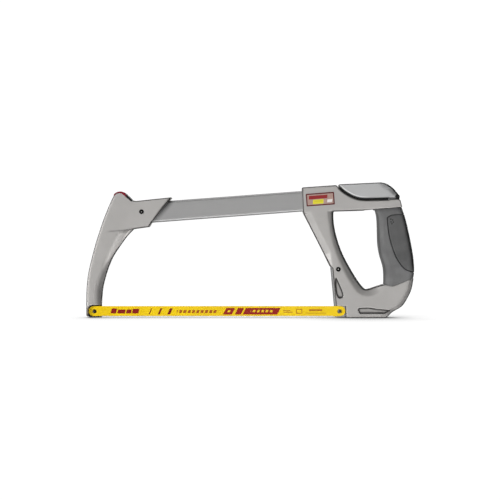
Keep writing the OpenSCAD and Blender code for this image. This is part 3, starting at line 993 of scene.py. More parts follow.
@dataclass(frozen=True)
class Layout:
    """Places that several pieces share, in millimetres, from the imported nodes.

    Args:
        front_x: Where the blade's front hole is.
        rear_x: Where its rear hole is.
        tube_mid: The tube's centre in X and Z.
        tilt: How far the tube leans, in radians.
        tube_h: The tube's height.
        tube_w: Its width.
        wall: Thickness of the castings over and under it.
        bore_spare: Play between the tube and the castings.
        peg_z: Height of the blade's holes.
        blade_top: How high the gap for the blade reaches.
        blade_far: The gap's far side, from the saw's middle plane.
    """

    front_x: float
    rear_x: float
    tube_mid: tuple[float, float]
    tilt: float = math.radians(4.25)
    tube_h: float = 25.0
    tube_w: float = 13.0
    wall: float = 4.0
    bore_spare: float = 0.12
    peg_z: float = PEG_Z
    blade_top: float = 14.5
    blade_far: float = 0.425

    @classmethod
    def read(cls, blade_end: float = 7.0) -> "Layout":
        """Reads the blade's and the tube's boxes.

        Args:
            blade_end: From a blade hole to the end of the blade.

        Returns:
            The layout.
        """
        low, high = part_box("blade")
        tube_low, tube_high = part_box("frame_tube")
        middle = (tube_low + tube_high) / 2 / MM
        return cls(low.x / MM + blade_end, high.x / MM - blade_end, (middle.x, middle.z))

    def axis(self, x: Array | float) -> Array | float:
        """Height of the tube's axis over X."""
        return self.tube_mid[1] + (x - self.tube_mid[0]) * math.tan(self.tilt)

    def arm(self, points: Points) -> Array:
        """Points given from the blade's front hole."""
        return np.asarray(points, float) + (self.front_x, 0)

    def hand(self, points: Points) -> Array:
        """Points given from the blade's rear hole."""
        return np.asarray(points, float) + (self.rear_x, 0)

    def across_axis(self, x: Array, z: Array) -> Array:
        """Distance above the tube's axis, at right angles to it."""
        return (z - self.axis(x)) * math.cos(self.tilt)

    def tube_bore(self, x: Array, y: Array, z: Array, corner: float = 3.5) -> Array:
        """Distance to the bore that the tube sits in, as if it had no ends."""
        u = np.abs(self.across_axis(x, z)) - self.tube_h / 2 - self.bore_spare + corner
        v = np.abs(y) - self.tube_w / 2 - self.bore_spare + corner
        return np.minimum(np.maximum(u, v), 0) + np.hypot(np.maximum(u, 0), np.maximum(v, 0)) - corner

    def blade_gap(self, y: Array, z: Array) -> Array:
        """Distance to the room that is left for the blade at the foot of a piece."""
        return np.maximum(z - self.blade_top, y - self.blade_far)


def dress(
    piece: bpy.types.Object, material: bpy.types.Material, body: Body, slot: Slot, *nodes: str
) -> None:
    """Gives a new piece its finish and its place in the part.

    Args:
        piece: The piece.
        material: Its finish.
        body: The body that it rides on.
        slot: Not used.
        nodes: The CAD nodes that it stands for.
    """
    piece.data.materials.clear()
    piece.data.materials.append(material)
    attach(piece, body.value)
    if nodes:
        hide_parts(*nodes)


def repaint(node: str, material: bpy.types.Material) -> None:
    """Gives a CAD node's mesh a new material.

    Args:
        node: The node's name.
        material: Its finish.
    """
    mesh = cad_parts[node].data
    mesh.materials.clear()
    mesh.materials.append(material)
    LOG.info("%s: CAD mesh, %s", node, material.name)


# ---------------------------------------------------------------- assemblies


@dataclass
class FrontArm:
    """Cast front arm: a socket block over a curved leg with a hollowed inner flank.

    Args:
        at: The shared places.
        leg: Half the leg's width across the saw.
        block: Half the block's width.
        flank: How steeply the inner flank falls away from its ridge.
        rim: Width of the bevel down the outer edge.
        least: Least half width of the flank.
        seat_y: Far side of the pocket for the blade seat.
        tube_front: Where the tube starts, from the front hole.
        pad_half: Half the rubber strip's width.
        pad_front: Where the strip starts, from the front hole.
        cell: Spacing of the mesh.
    """

    at: Layout
    leg: float = 7.0
    block: float = 9.5
    flank: float = 0.42
    rim: float = 2.7
    least: float = 2.4
    seat_y: float = 2.825
    tube_front: float = 47.9
    pad_half: float = 9.7
    pad_front: float = 24.6
    cell: float = 0.66

    def __post_init__(self) -> None:
        """Works out the arm's lines in the side view, from the blade's front hole."""
        arm, axis = self.at.arm, self.at.axis
        top = self.at.tube_h / 2 + self.at.wall
        tip, low = self.at.front_x + 95.4, self.at.front_x + 70.8
        self.outer = curve(arm([
            [-9.4, 15.8], [-8.9, 37], [-6.6, 55.7], [-1.8, 75.6], [3.9, 95.5], [11, 116.6], [16.9, 131.8],
            [22.7, 145]]), 3)
        self.nose = curve(arm([[22.7, 145], [26.6, 150.8], [32.1, 152.8], [37.6, 151.2], [46.2, 142.9]]), 5)
        self.inner = curve(arm([
            [48.5, 107.8], [40.3, 99.1], [30.9, 86.1], [22.7, 73.2], [16.9, 59.1], [12.8, 45.2], [10.4, 33.4],
            [9.1, 16]]), 3)
        self.mouth = np.array([
            [tip, axis(tip) + top],
            [low, axis(low) - self.at.tube_h / 2 + 0.6],
            [low - 3.6, axis(low) - top - 1.4]])
        self.edge = join(arm([[9.1, 0], [-6.8, 0], [-9.3, 2.7]]), self.outer, self.nose, arm([[52.1, 142.2]]),
                         self.mouth, self.inner)
        self.ridge = curve(arm([
            [1.1, -8], [1.1, 15.8], [1.9, 39.3], [9.8, 62.7], [19.5, 85], [30.9, 106.2], [33.5, 111]]), 4)
        self.under = arm([[-60, 101.5], [10, 103.9], [31.6, 105.8], [49.5, 108.1], [67, 110.3], [110, 114]])
        pocket_corner = arc(arm([[-1.6, 9.4]])[0], 6, 180, 90, 6)
        self.pocket = join(arm([[12, -1], [-7.6, -1]]), pocket_corner, arm([[12, 15.4]]))

    def solid(self, x: Array, y: Array, z: Array) -> Array:
        """Distance to the casting.

        The leg's half width grows smoothly into the block's. Past the ridge it falls away in a
        flank that steepens, and along the outer edge in a narrow bevel. The block stays flat
        down to its lower edge.
        """
        edge, far = outline(self.edge, x, z), np.abs(y)
        full = self.leg + (self.block - self.leg) * ramp(62, 103, z)
        beyond = past(-beside(self.ridge, x, z), 1.2)
        steeper = 0.008 + 0.027 * ramp(58, 86, z)
        fall = (self.flank * beyond + steeper * beyond**2) * (1 - ramp(104, 112, z))
        bevel = 0.2 * past(self.rim - np.abs(beside(self.outer, x, z)), 1.1)
        leg = both(edge, far - np.maximum(full - fall - bevel, self.least), 0.9)
        above = -beside(self.under, x, z)
        block = both(both(edge, far - self.block + bevel, 0.7), above, 0.5)
        bore = -self.at.tube_bore(x, y, np.maximum(z, 0)) - 1e3 * (x < self.at.front_x + self.tube_front)
        made = np.maximum(np.minimum(leg, block), bore)
        return cut(made, np.maximum(outline(self.pocket, x, z), y - self.seat_y), 0.25)

    def strip(self, x: Array, y: Array, z: Array) -> Array:
        """Distance to the rubber strip, which wraps the nose and thickens down its rear slope."""
        u = x - self.at.front_x
        out = beside(self.nose, x, z)
        sunk = 0.5 + 1.7 * ramp(29, 37, u) * (1 - 0.5 * ramp(40, 46, u))
        band = both(out - 0.88, -out - sunk, 0.4)
        return both(both(band, self.pad_front - u, 0.4), np.abs(y) - self.pad_half, 0.5)

    def shade(self, piece: bpy.types.Object) -> None:
        """Stores the casting's painted shade on rim, lines and hollows, and its painted highlight on the
        ridge.

        Args:
            piece: The casting's mesh.
        """
        x, _, z = places(piece)
        u = x - self.at.front_x
        under, nose, mouth = (beside(line, x, z) for line in (self.under, self.nose, self.mouth))
        right = -beside(self.ridge, x, z)
        # Painted shade along the outline and down the mouth.
        rim = np.abs(mouth) * (0.5 + 0.4 * ramp(132, 118, z))
        give(piece, "edge", np.maximum(np.minimum(-outline(self.edge, x, z), rim), 0))
        # Painted shadow under the block's lower edge, and painted half shade down the inner flank's hollow.
        step = close(under - 0.3, 0.3, 1.5) * ramp(14, 22, u)
        hollow = ramp(1.5, 4.5, right) * (1 - 0.6 * ramp(60, 92, z)) * ramp(-0.5, 0.5, under) * (z < 104)
        give(piece, "sunk", np.maximum(1.6 * step, 2.2 * hollow))
        # Lines of painted shade on the lower inner flank, beside the strip on the nose's rear slope and at the
        # mouth's top.
        low_flank = 0.38 * ramp(1.5, 5.0, right) * (1 - ramp(50, 80, z))
        slope_line = close(nose, 0.9, 1.9) * ramp(33, 37, u)
        tip_line = close(mouth, 0.8, 2.0) * ramp(126, 140, z)
        give(piece, "line", np.maximum.reduce([low_flank, slope_line, tip_line]))
        # Painted highlight in a band along the ridge, where the inner flank would catch the light.
        wide = 2.5 + 6.5 * ramp(62, 98, z)
        band = ramp(0.0, 3.5, right) * (1 - ramp(wide, wide + 3.5, right))
        give(piece, "painted_highlight", band * ramp(56, 72, z) * (1 - ramp(102, 105, z)))

    def build(self, cast: bpy.types.Material, strip: bpy.types.Material) -> None:
        """Makes the arm and the strip over its nose.

        Args:
            cast: The arm's finish.
            strip: The strip's.
        """
        x0, x1 = self.edge[:, 0].min(), self.edge[:, 0].max()
        high = (x1, self.block, self.edge[:, 1].max())
        piece = skinned("front_arm_casting", self.solid, (x0, -self.block, 0), high, self.cell)
        self.shade(piece)
        dress(piece, cast, Body.FRAME, Slot.CAST, "front_arm")
        (x0, z0), (x1, z1) = self.nose.min(0) - 2, self.nose.max(0) + 1
        pad = skinned("nose_strip", self.strip, (x0, -self.pad_half, z0), (x1, self.pad_half, z1), 0.45)
        dress(pad, strip, Body.FRAME, Slot.NOSE, "nose_pad")


@dataclass
class Handle:
    """Cast handle: socket block, strut with two flanks, and a foot round the hand hole.

    Args:
        at: The shared places.
        cheek: Half the width of the strut and the foot.
        block: Half the width of the block along the top.
        slot: Half the width of the rocker's slot.
        pocket_depth: Depth of the pockets in the foot.
        core_half: Half the width of the core inside the grip.
        core_inset: How far the core lies inside the grip's outline.
        rod_r: Radius of the push rod's bore.
        cam_r: Radius of the room round the lever's hinge.
        knuckle: Radius of the hinge ears.
        tube_gap: From the centre of the rocker's nose to the end of the tube.
        nose_reach: From that centre to the tip of the push rod.
        nose_room: Room in the slot behind the tip.
        cell: Spacing of the mesh.
    """

    at: Layout
    cheek: float = 9.5
    block: float = 10.5
    slot: float = 4.3
    pocket_depth: float = 1.6
    core_half: float = 7.3
    core_inset: float = 3.0
    rod_r: float = 3.8
    cam_r: float = 3.25
    knuckle: float = 2.8
    tube_gap: float = 6.8
    nose_reach: float = 4.03
    nose_room: float = 3.5
    cell: float = 0.8

    def __post_init__(self) -> None:
        """Works out the handle's lines in the side view, from the blade's rear hole."""
        hand = self.at.hand
        self.seat = curve(hand([
            [-1.3, 157.8], [3.1, 153.7], [8.4, 150.1], [14.7, 146.7], [21.2, 144.5], [27, 143.6],
            [35.3, 143.4], [58.7, 144]]), 3)
        self.heel = hand([[70, 147.9]])[0]
        self.back = curve(hand([
            [73.4, 143.1], [75.8, 134.5], [80.5, 119.1], [86.4, 92.2], [89.9, 71.1], [91, 57.1], [89.9, 47.8],
            [87.6, 34.9], [82.8, 24.2], [75.8, 13.7], [64.1, 6.7], [57.1, 0.5], [54, 0]]), 3)
        self.strut = curve(hand([
            [-7.9, 128], [-7.3, 115.7], [-4.4, 100.4], [0.9, 84], [7.9, 68.8], [17.3, 52.4], [24.3, 41.9],
            [29.5, 36], [33.7, 34.9], [45.3, 38.3], [53.5, 40.7]]), 3)
        self.under = hand([
            [-60, 125.6], [-44, 126.6], [-15, 128.7], [-7, 129.6], [30, 130.9], [43, 131.9], [75.3, 134.7],
            [100, 136.8]])
        self.front_ridge = hand([[-47, 139], [-35.6, 127.5], [-11.4, 79.6], [-9.6, 60], [-8, 40]])
        self.rear_ridge = curve(hand([
            [-16, 140], [-15, 129], [-13.4, 115], [-11.0, 100], [-7.2, 85], [-1.4, 70], [5.2, 55.5],
            [15.1, 39.2], [23.3, 29.6], [34.9, 26.4], [46.7, 29.8], [57, 37.5]]), 3)
        self.drop = curve(hand([
            [-5, 49.9], [-5.9, 43.8], [-4.6, 29], [-0.8, 23.4], [4.4, 27.1], [-0.6, 40.9],
            [-5, 49.9]]), 4)[:-1]
        self.boat = hand([
            [21.8, 9.3], [23.3, 12.1], [34.9, 12.5], [46.7, 10.6], [62, 9.3], [54.9, 4.9], [24.4, 4.9]])
        self.draw_block()
        self.draw_grip()
        self.draw_slot()

    def draw_block(self) -> None:
        """Closes the casting's outline with the block over the tube and the hinge's knuckle."""
        hand, axis = self.at.hand, self.at.axis
        mouth, block_rear = self.at.rear_x - 44.8, self.at.rear_x - 4.9
        top = self.at.tube_h / 2 + self.at.wall
        block = [[mouth, axis(mouth) - top + 2], [mouth - 1.2, axis(mouth) + top],
                 [block_rear, axis(block_rear) + top]]
        self.block_top = np.array(block[1:])
        self.edge = join(hand([[-3.1, 0], [-4.6, 14], [-9, 60], [-12, 62.9]]), block, self.seat,
                         [self.heel + (-1, -3.3), self.heel + (1.9, -3.3)], self.back)

    def draw_grip(self) -> None:
        """Draws the hand hole, the grip's two ends and the core inside the rubber."""
        hand = self.at.hand
        self.grip_side = curve(hand([
            [53.8, 44], [53.8, 57.1], [52.4, 65.3], [48.9, 77], [46.8, 89.9], [46.3, 104], [45.9, 116.8],
            [44.8, 125], [43, 130.9]]), 3)
        self.hole = join(self.strut, self.grip_side, hand([[-7, 129.4]]))
        self.grip_top = hand([[30, 130.9], [43, 132.1], [75.3, 134.9], [100, 137]])
        self.grip_low = hand([[40, 44], [53.8, 40.3], [64.3, 38.2], [74.1, 42], [88.7, 47.8], [100, 52.4]])
        self.zone = join(self.grip_top, self.grip_low[::-1])
        front = shifted(join(hand([[53.8, 36]]), self.grip_side, hand([[40, 137]])), -self.core_inset)
        self.core = join(front, hand([[66, 150]]), shifted(self.back, -self.core_inset))

    def draw_slot(self) -> None:
        """Draws the rocker's slot, which takes in the rocker's nose at the end of the tube."""
        hand, axis = self.at.hand, self.at.axis
        nose = hand([[-15.7, 0]])[0] + (0, axis(self.at.rear_x - 15.7))
        end, tip = nose[0] - self.tube_gap, nose[0] + self.nose_reach * math.cos(self.at.tilt) + self.nose_room
        front = self.at.rear_x - 60
        self.slot_edge = join(
            [[front, -1], [front, 114], [end - 0.2, 114]],
            [[end - 0.2, nose[1] + 6], [tip, nose[1] + 6], [tip, nose[1] - 6]],
            hand([[-10.8, 134], [-10.8, 112], [-4.8, 84], [6.4, 64.4], [6.7, 54], [9.4, 20], [9, -1]]))
        self.tube_end, self.nose_at = end, nose

    def widths(self, x: Array, z: Array) -> Array:
        """Half the width of the strut and foot over each place.

        It starts flat. Before the front ridge it falls towards the front edge, past the rear
        ridge towards the hand hole, and near the rear corner and the floor in a bevel.
        """
        u = x - self.at.rear_x
        front = 0.50 * past(-beside(self.front_ridge, x, z), 1.4) * ramp(55, 64, z)
        rear = 0.62 * past(beside(self.rear_ridge, x, z), 1.2) * (1 - ramp(34, 60, u))
        rim = 0.55 * past(5.4 - np.abs(beside(self.back, x, z)), 1.0)
        rim = rim * (1 - ramp(44, 54, z)) * ramp(56, 66, u)
        fall = np.minimum(front, 4.4) + np.minimum(rear, 4.6) + rim
        return np.maximum(self.cheek + ramp(112, 127, z) - fall, 5.0)

    def mass(self, x: Array, y: Array, z: Array) -> Array:
        """Distance to cheeks, block and hinge ears together, before anything is cut."""
        far = np.abs(y)
        ring = np.maximum(outline(self.edge, x, z), -outline(self.hole, x, z))
        cheeks = both(ring, far - self.widths(x, z), 1.1)
        top = past(1.7 + beside(self.block_top, x, z), 0.4) * 0.55 * (x < self.at.rear_x - 2)
        block = both(both(ring, far - self.block + top, 0.7), -beside(self.under, x, z), 2.5)
        neck = np.maximum(np.abs(x - self.heel[0]) - self.knuckle, np.abs(z - self.heel[1] + 2.5) - 2.5)
        ears = np.maximum(np.minimum(bar(self.heel, self.knuckle, x, z), neck), np.abs(far - 5.8) - 1.5)
        return np.minimum(np.minimum(cheeks, block), ears)

    def pockets(self, x: Array, z: Array) -> Array:
        """Distance to the drop and the boat that are sunk in the foot."""
        return np.minimum(outline(self.drop, x, z), outline(self.boat, x, z))

    def solid(self, x: Array, y: Array, z: Array) -> Array:
        """Distance to the casting, less the room for grip, tube, rocker, blade, rod and cam."""
        at, far, u = self.at, np.abs(y), x - self.at.rear_x
        core = both(outline(self.core, x, z), far - self.core_half, 0.5)
        rod = np.maximum(np.hypot(at.across_axis(x, z), y) - self.rod_r,
                         np.maximum(self.nose_at[0] - x, x - self.heel[0]))
        chamber = np.maximum(np.abs(x - self.heel[0] + 5.8) - 6.8, self.heel[1] - 9.2 - z)
        chamber = np.minimum(chamber, bar(self.heel, self.cam_r, x, z))
        made = self.mass(x, y, z)
        for room in (
            np.maximum(outline(self.zone, x, z), -core),
            np.maximum(np.maximum(at.tube_bore(x, y, z), x - self.tube_end), -60 - u),
            np.maximum(outline(self.slot_edge, x, z), far - self.slot),
            np.maximum(u - 7.8, at.blade_gap(y, z)),
            rod,
            np.maximum(chamber, far - self.slot),
        ):
            made = cut(made, room)
        return cut(made, np.maximum(self.pockets(x, z) + 0.1, self.cheek - self.pocket_depth - far), 0.45)

    def shade(self, piece: bpy.types.Object) -> None:
        """Stores the casting's painted shade on its rims, in its lines, in its pockets and on its flanks.

        Args:
            piece: The casting's mesh.
        """
        x, y, z = places(piece)
        u = x - self.at.rear_x
        strut, seat, back = (beside(line, x, z) for line in (self.strut, self.seat, self.back))
        drop, boat = outline(self.drop, x, z), outline(self.boat, x, z)
        # Painted half shade on the pocket floors.
        below = ramp(0.3, 1.2, self.cheek - np.abs(y)) * (np.abs(y) > self.cheek - 2.0)
        below = below * (np.minimum(drop, boat) < 0.3)
        wall = np.minimum(np.abs(drop), np.abs(boat)) * 0.6
        # Painted shade along the outline, the hand hole, the pocket walls, the strut and the lever's seat.
        depth = np.minimum(-outline(self.edge, x, z), outline(self.hole, x, z))
        depth = np.where((below > 0.1) & (z < 52), np.minimum(depth, wall), depth)
        depth = np.minimum(depth, np.abs(strut) * (0.42 + 0.48 * ramp(26, 40, u)))
        depth = np.minimum(depth, np.abs(seat) * 0.6)
        give(piece, "edge", np.maximum(depth, 0))
        # Lines of painted shade down the strut, in the gap under the lever and round the hinge knuckle, and
        # painted shadow along the pockets' lower edges.
        strut_line = close(strut, 1.2, 2.3) * (1 - ramp(32, 50, u)) * (z < 128)
        knuckle = 1 - ramp(3.2, 3.9, bar(self.heel, 0, x, z))
        lower = np.minimum(outline(self.drop, x - 0.8, z - 2.0), outline(self.boat, x + 0.6, z - 1.5))
        low_edge = ramp(-1.2, -0.1, lower) * below * 0.7
        give(piece, "line", np.maximum.reduce([strut_line, close(seat, 0.9, 1.9) * 0.9, knuckle, low_edge]))
        # Painted half shade on the strut's rear flank and the rear lower corner, which face away from the
        # light.
        flank = ramp(0.5, 3.0, beside(self.rear_ridge, x, z)) * ramp(30, 48, z) * (1 - ramp(112, 127, z))
        corner = (1 - ramp(4.4, 5.6, -back)) * (1 - ramp(44, 54, z)) * (u > 40)
        give(piece, "sunk", np.maximum.reduce([below * 0.8, flank * 0.8, corner * 0.9]))

    def build(self, cast: bpy.types.Material) -> None:
        """Makes the casting.

        Args:
            cast: Its finish.
        """
        (x0, _), (x1, z1) = self.edge.min(0), self.edge.max(0)
        piece = skinned("handle_body", self.solid, (x0, -self.block, 0), (x1, self.block, z1), self.cell)
        self.shade(piece)
        dress(piece, cast, Body.FRAME, Slot.CAST, "handle_casting")


@dataclass
class Grip:
    """Rubber sleeve and palm panel moulded round the handle's core.

    Args:
        handle: The casting that it is moulded on.
        half: Half the grip's greatest width.
        end_half: Half its width at its two ends.
        round_off: Radius of its long edges.
        groove: Gap between the sleeve and the palm panel.
        groove_depth: How deep the gap is.
        play: Room round the core.
        cell: Spacing of the meshes.
    """

    handle: Handle
    half: float = 14.6
    end_half: float = 10.1
    round_off: float = 7.5
    groove: float = 0.7
    groove_depth: float = 1.3
    play: float = 0.1
    cell: float = 0.75

    def __post_init__(self) -> None:
        """Draws the panel's front edge, from the blade's rear hole."""
        self.palm = curve(self.handle.at.hand([
            [100, 126.6], [74.6, 126], [64.1, 125.3], [57.7, 122.7], [56.8, 119.1], [57.7, 109.8],
            [59.4, 98.1], [63, 85.2], [67.6, 73.5], [74.6, 62.9], [82.8, 57.1], [100, 52.6]]), 3)

    def body(self, x: Array, y: Array, z: Array) -> Array:
        """Distance to the whole grip.

        The half width swells from the casting's at the top and the bottom to its full size in the
        middle. Long edges are round, and the ends lie against the casting.
        """
        h = self.handle
        ring = np.maximum(outline(h.edge, x, z), -outline(h.hole, x, z))
        from_top, from_low = -beside(h.grip_top, x, z), beside(h.grip_low, x, z)
        swell = np.minimum(ramp(-3, 20, from_top), ramp(-2, 26, from_low))
        half = self.end_half + (self.half - self.end_half) * swell
        made = both(ring + 0.05, np.abs(y) - half, self.round_off)
        made = both(made, np.maximum(-from_top, -from_low), 0.4)
        core = both(outline(h.core, x, z), np.abs(y) - h.core_half - self.play, 0.5)
        return cut(made, core)

    def sleeve(self, x: Array, y: Array, z: Array) -> Array:
        """Distance to the sleeve: the grip in front of the panel's edge, and a layer below it."""
        whole = self.body(x, y, z)
        return np.minimum(both(whole, beside(self.palm, x, z), 0.45), whole + self.groove_depth)

    def panel(self, x: Array, y: Array, z: Array) -> Array:
        """Distance to the palm panel, sunk a little below the sleeve."""
        gap = self.groove * ramp(0.5, 5.0, np.abs(beside(self.handle.back, x, z)))
        return both(self.body(x, y, z) + 0.12, gap - beside(self.palm, x, z), 0.5)

    def shade(self, piece: bpy.types.Object) -> None:
        """Stores how near each point is to the grip's rear, its hole side, its top and the seam.

        Args:
            piece: A moulding's mesh.
        """
        h, (x, _, z) = self.handle, places(piece)
        lines = (h.back, self.palm, h.grip_side, h.grip_top)
        back, palm, hole, top = (beside(line, x, z) for line in lines)
        # These distances place the rubber's painted shade bands and its dark seam.
        give(piece, "rear", np.abs(back) + 2.0 * (1 - ramp(50, 66, z)) + 1.5 * ramp(118, 130, z))
        give(piece, "seam", np.abs(palm - 0.2))
        give(piece, "hole", np.abs(hole))
        give(piece, "top", np.abs(top))

    def build(self, rubber: bpy.types.Material, palm: bpy.types.Material) -> None:
        """Makes both mouldings.

        Args:
            rubber: The sleeve's finish.
            palm: The panel's.
        """
        h = self.handle
        low = (h.grip_side[:, 0].min() - 1, -self.half, h.grip_low[:, 1].min() - 1)
        high = (h.back[:, 0].max() + 0.5, self.half, h.grip_top[:, 1].max() + 1)
        for name, solid, material, slot, node in (
            ("rubber_sleeve", self.sleeve, rubber, Slot.GRIP, "grip_sleeve"),
            ("palm_panel", self.panel, palm, Slot.PALM, "palm_pad"),
        ):
            piece = skinned(name, solid, low, high, self.cell)
            self.shade(piece)
            dress(piece, material, Body.FRAME, slot, node)


@dataclass
class Lever:
    """Tension lever: a hollow cast shell over the cam.

    Args:
        handle: The casting whose seat it closes on.
        half: Half its width.
        hollow: Half the width of its hollow.
        seat_gap: How far it stays off the seat.
        pin_r: Radius of its hole for the hinge pin.
        pin_end: How far the hole reaches to the near side.
        cell: Spacing of the mesh.
    """

    handle: Handle
    half: float = 10.5
    hollow: float = 7.6
    seat_gap: float = 1.3
    pin_r: float = 1.8
    pin_end: float = -9.4
    cell: float = 0.55

    def __post_init__(self) -> None:
        """Works out the lever's lines in the side view, from the blade's rear hole."""
        hand, heel = self.handle.at.hand, self.handle.heel
        self.shoulder = curve(hand([
            [49.9, 164.8], [55.5, 163.6], [61.5, 160.3], [66.4, 156], [70.2, 151.2], [71.9, 148.6]]), 4)
        self.top = join(hand([[-1.7, 161.4], [-0.9, 162.3], [5.9, 162.7]]), self.shoulder)
        self.under = shifted(self.handle.seat, self.seat_gap)
        self.edge = join(self.top, arc(heel, self.handle.knuckle, 0, -90, 8), self.under[::-1])
        self.inside = join(hand([[9, 159.2], [49.4, 161.6], [52.4, 161.2], [59, 157.7], [64.4, 154.2]]),
                           [heel, heel + (0, -6)], hand([[30, 138], [18, 142], [9, 152]]))
        self.rear_cut = heel + np.array([(-1, -1), (-3.4, 2.5), (-5, 7.5), (3, 7.5), (60, 0), (0, -60)])

    def solid(self, x: Array, y: Array, z: Array) -> Array:
        """Distance to the shell, with a bevel along its lower edge and a soft rear shoulder."""
        heel, far = self.handle.heel, np.abs(y)
        rim = 0.55 * past(1.3 - np.abs(beside(self.under, x, z)), 0.3)
        shoulder = 0.32 * past(6.5 - np.abs(beside(self.shoulder, x, z)), 1.2)
        shoulder = np.minimum(shoulder * ramp(44, 58, x - self.handle.at.rear_x), 1.7)
        shoulder = shoulder * ramp(3.4, 7.0, bar(heel, 0, x, z))
        made = both(outline(self.edge, x, z), far - self.half + rim + shoulder, 0.9)
        chamber, rear = outline(self.inside, x, z), outline(self.rear_cut, x, z)
        for room in (chamber, bar(heel, self.handle.cam_r, x, z), rear):
            made = cut(made, np.maximum(room, far - self.hollow))
        return cut(made, np.maximum(bar(heel, self.pin_r, x, z), self.pin_end - y))

    def shade(self, piece: bpy.types.Object) -> None:
        """Stores the lever's painted shade on rims, lines and rear shoulder, and a painted highlight by its
        lower edge.

        Args:
            piece: The lever's mesh.
        """
        x, _, z = places(piece)
        u = x - self.handle.at.rear_x
        under, shoulder = beside(self.under, x, z), beside(self.shoulder, x, z)
        # Painted shade along the outline, the lower edge and the rear shoulder.
        rear = ramp(56, 66, u)
        near = np.minimum(np.abs(under) * 0.7, np.abs(shoulder) * (1 - 0.5 * rear))
        give(piece, "edge", np.maximum(np.minimum(-outline(self.edge, x, z), near), 0))
        # Lines of painted shade along the top of the shoulder, the lower edge and round the knuckle.
        top_line = close(shoulder, 1.2, 2.4) * ramp(50, 58, u)
        knuckle = close(bar(self.handle.heel, 0, x, z), 2.6, 3.6)
        give(piece, "line", np.maximum.reduce([top_line, close(under, 0.5, 1.1), knuckle]))
        # Painted highlight in a thin band just inside the lower edge, along its front part.
        give(piece, "painted_highlight", 0.8 * close(under - 2.1, 0.4, 1.2) * (1 - ramp(18, 40, u)))
        # Painted half shade on the rear shoulder, which faces away from the light.
        give(piece, "sunk", 2.0 * close(shoulder, 4.0, 7.0) * rear)

    def build(self, paint: bpy.types.Material) -> None:
        """Makes the lever.

        Args:
            paint: Its finish.
        """
        (x0, z0), (x1, z1) = self.edge.min(0), self.edge.max(0)
        piece = skinned("lever_shell", self.solid, (x0, -self.half, z0), (x1, self.half, z1), self.cell)
        self.shade(piece)
        dress(piece, paint, Body.LEVER, Slot.LEVER, "tension_lever")


@dataclass
class Rocker:
    """Rocker in the handle's slot, which carries the rear blade pin.

    Args:
        handle: The casting that it turns in.
        half: Half its width.
        nose_r: Radius of its nose.
        bore_r: Radius of its hole for the pin.
        cell: Spacing of the mesh.
    """

    handle: Handle
    half: float = 4.0
    nose_r: float = 4.0
    bore_r: float = 2.6
    cell: float = 0.6

    def __post_init__(self) -> None:
        """Works out its outline and its pin's place, from the blade's rear hole."""
        hand, nose = self.handle.at.hand, self.handle.nose_at
        self.pin = hand([[-2.1, 59]])[0]
        self.edge = join(hand([[-5.6, 0.4], [-6.7, 13.7], [-11.1, 60.6], [-14.2, 84], [-20.7, 112]]),
                         [nose + (-5.5, -6)], arc(nose, self.nose_r, 180, 0, 12), [nose + (2.5, -6)],
                         hand([[-12.7, 112], [-6.2, 84], [4.9, 64], [5.4, 54], [8.5, 20], [7.5, 0.4]]))

    def solid(self, x: Array, y: Array, z: Array) -> Array:
        """Distance to the rocker, cut back near the floor for the blade."""
        made = both(outline(self.edge, x, z), np.abs(y) - self.half, 0.5)
        made = cut(made, self.handle.at.blade_gap(y, z))
        return cut(made, bar(self.pin, self.bore_r, x, z))

    def build(self, paint: bpy.types.Material) -> None:
        """Makes the rocker.

        Args:
            paint: Its finish.
        """
        (x0, _), (x1, z1) = self.edge.min(0), self.edge.max(0)
        piece = skinned("slot_rocker", self.solid, (x0, -self.half, 0), (x1, self.half, z1), self.cell)
        x, _, z = places(piece)
        # Painted shade along the rocker's rim.
        give(piece, "edge", -outline(self.edge, x, z))
        dress(piece, paint, Body.HOLDER, Slot.ROCKER, "rocker")


@dataclass
class Spine:
    """The straight tube that joins the arm to the handle.

    Args:
        at: The shared places.
        wall: Thickness of its wall.
        corner: Radius of its outer corners.
        front: Where it starts, from the front hole.
        stations: Number of sections along it.
    """

    at: Layout
    wall: float = 1.6
    corner: float = 3.5
    front: float = 48.0
    stations: int = 40

    def ring(self, inset: float, steps: int = 12) -> Array:
        """The tube's section, as a quarter turn that is mirrored into all four corners.

        Args:
            inset: How far it lies inside the outer face.
            steps: Number of steps round a corner.

        Returns:
            Its (across, up) points.
        """
        w, h, r = self.at.tube_w / 2, self.at.tube_h / 2, self.corner
        a = np.radians(np.linspace(0, 90, steps + 1))
        quarter = np.stack([w - r + (r - inset) * np.cos(a), h - r + (r - inset) * np.sin(a)], 1)
        flip = [(1, 1, 1), (-1, 1, -1), (-1, -1, 1), (1, -1, -1)]
        return np.vstack([quarter[::d] * (sx, sz) for sx, sz, d in flip])

    def build(self, handle: Handle, paint: bpy.types.Material) -> None:
        """Carries the section along the axis, turned in at both ends and back through the bore.

        Args:
            handle: The casting that the tube ends in.
            paint: The tube's finish.
        """
        x0, x1, wall = self.at.front_x + self.front, handle.tube_end, self.wall
        outside = [(x, 0.0) for x in np.linspace(x0 + 0.8, x1 - 0.8, self.stations)]
        rear_end = [(x1, 0.4), (x1, wall - 0.3), (x1 - 0.3, wall)]
        front_end = [(x0 + 0.3, wall), (x0, wall - 0.3), (x0, 0.4)]
        rings = []
        for x, inset in [(x0 + 0.4, 0.0), *outside, (x1 - 0.4, 0.0), *rear_end, *front_end]:
            across, up = self.ring(inset).T
            back, rise = up * math.sin(self.at.tilt), up * math.cos(self.at.tilt)
            rings.append(np.stack([x - back, across, self.at.axis(x) + rise], 1))
        rings = np.array(rings)
        faces = grid_faces(rings.shape[0], rings.shape[1], True, True)
        piece = from_faces("spine_tube", rings.reshape(-1, 3), faces)
        dress(piece, paint, Body.FRAME, Slot.TUBE, "frame_tube")


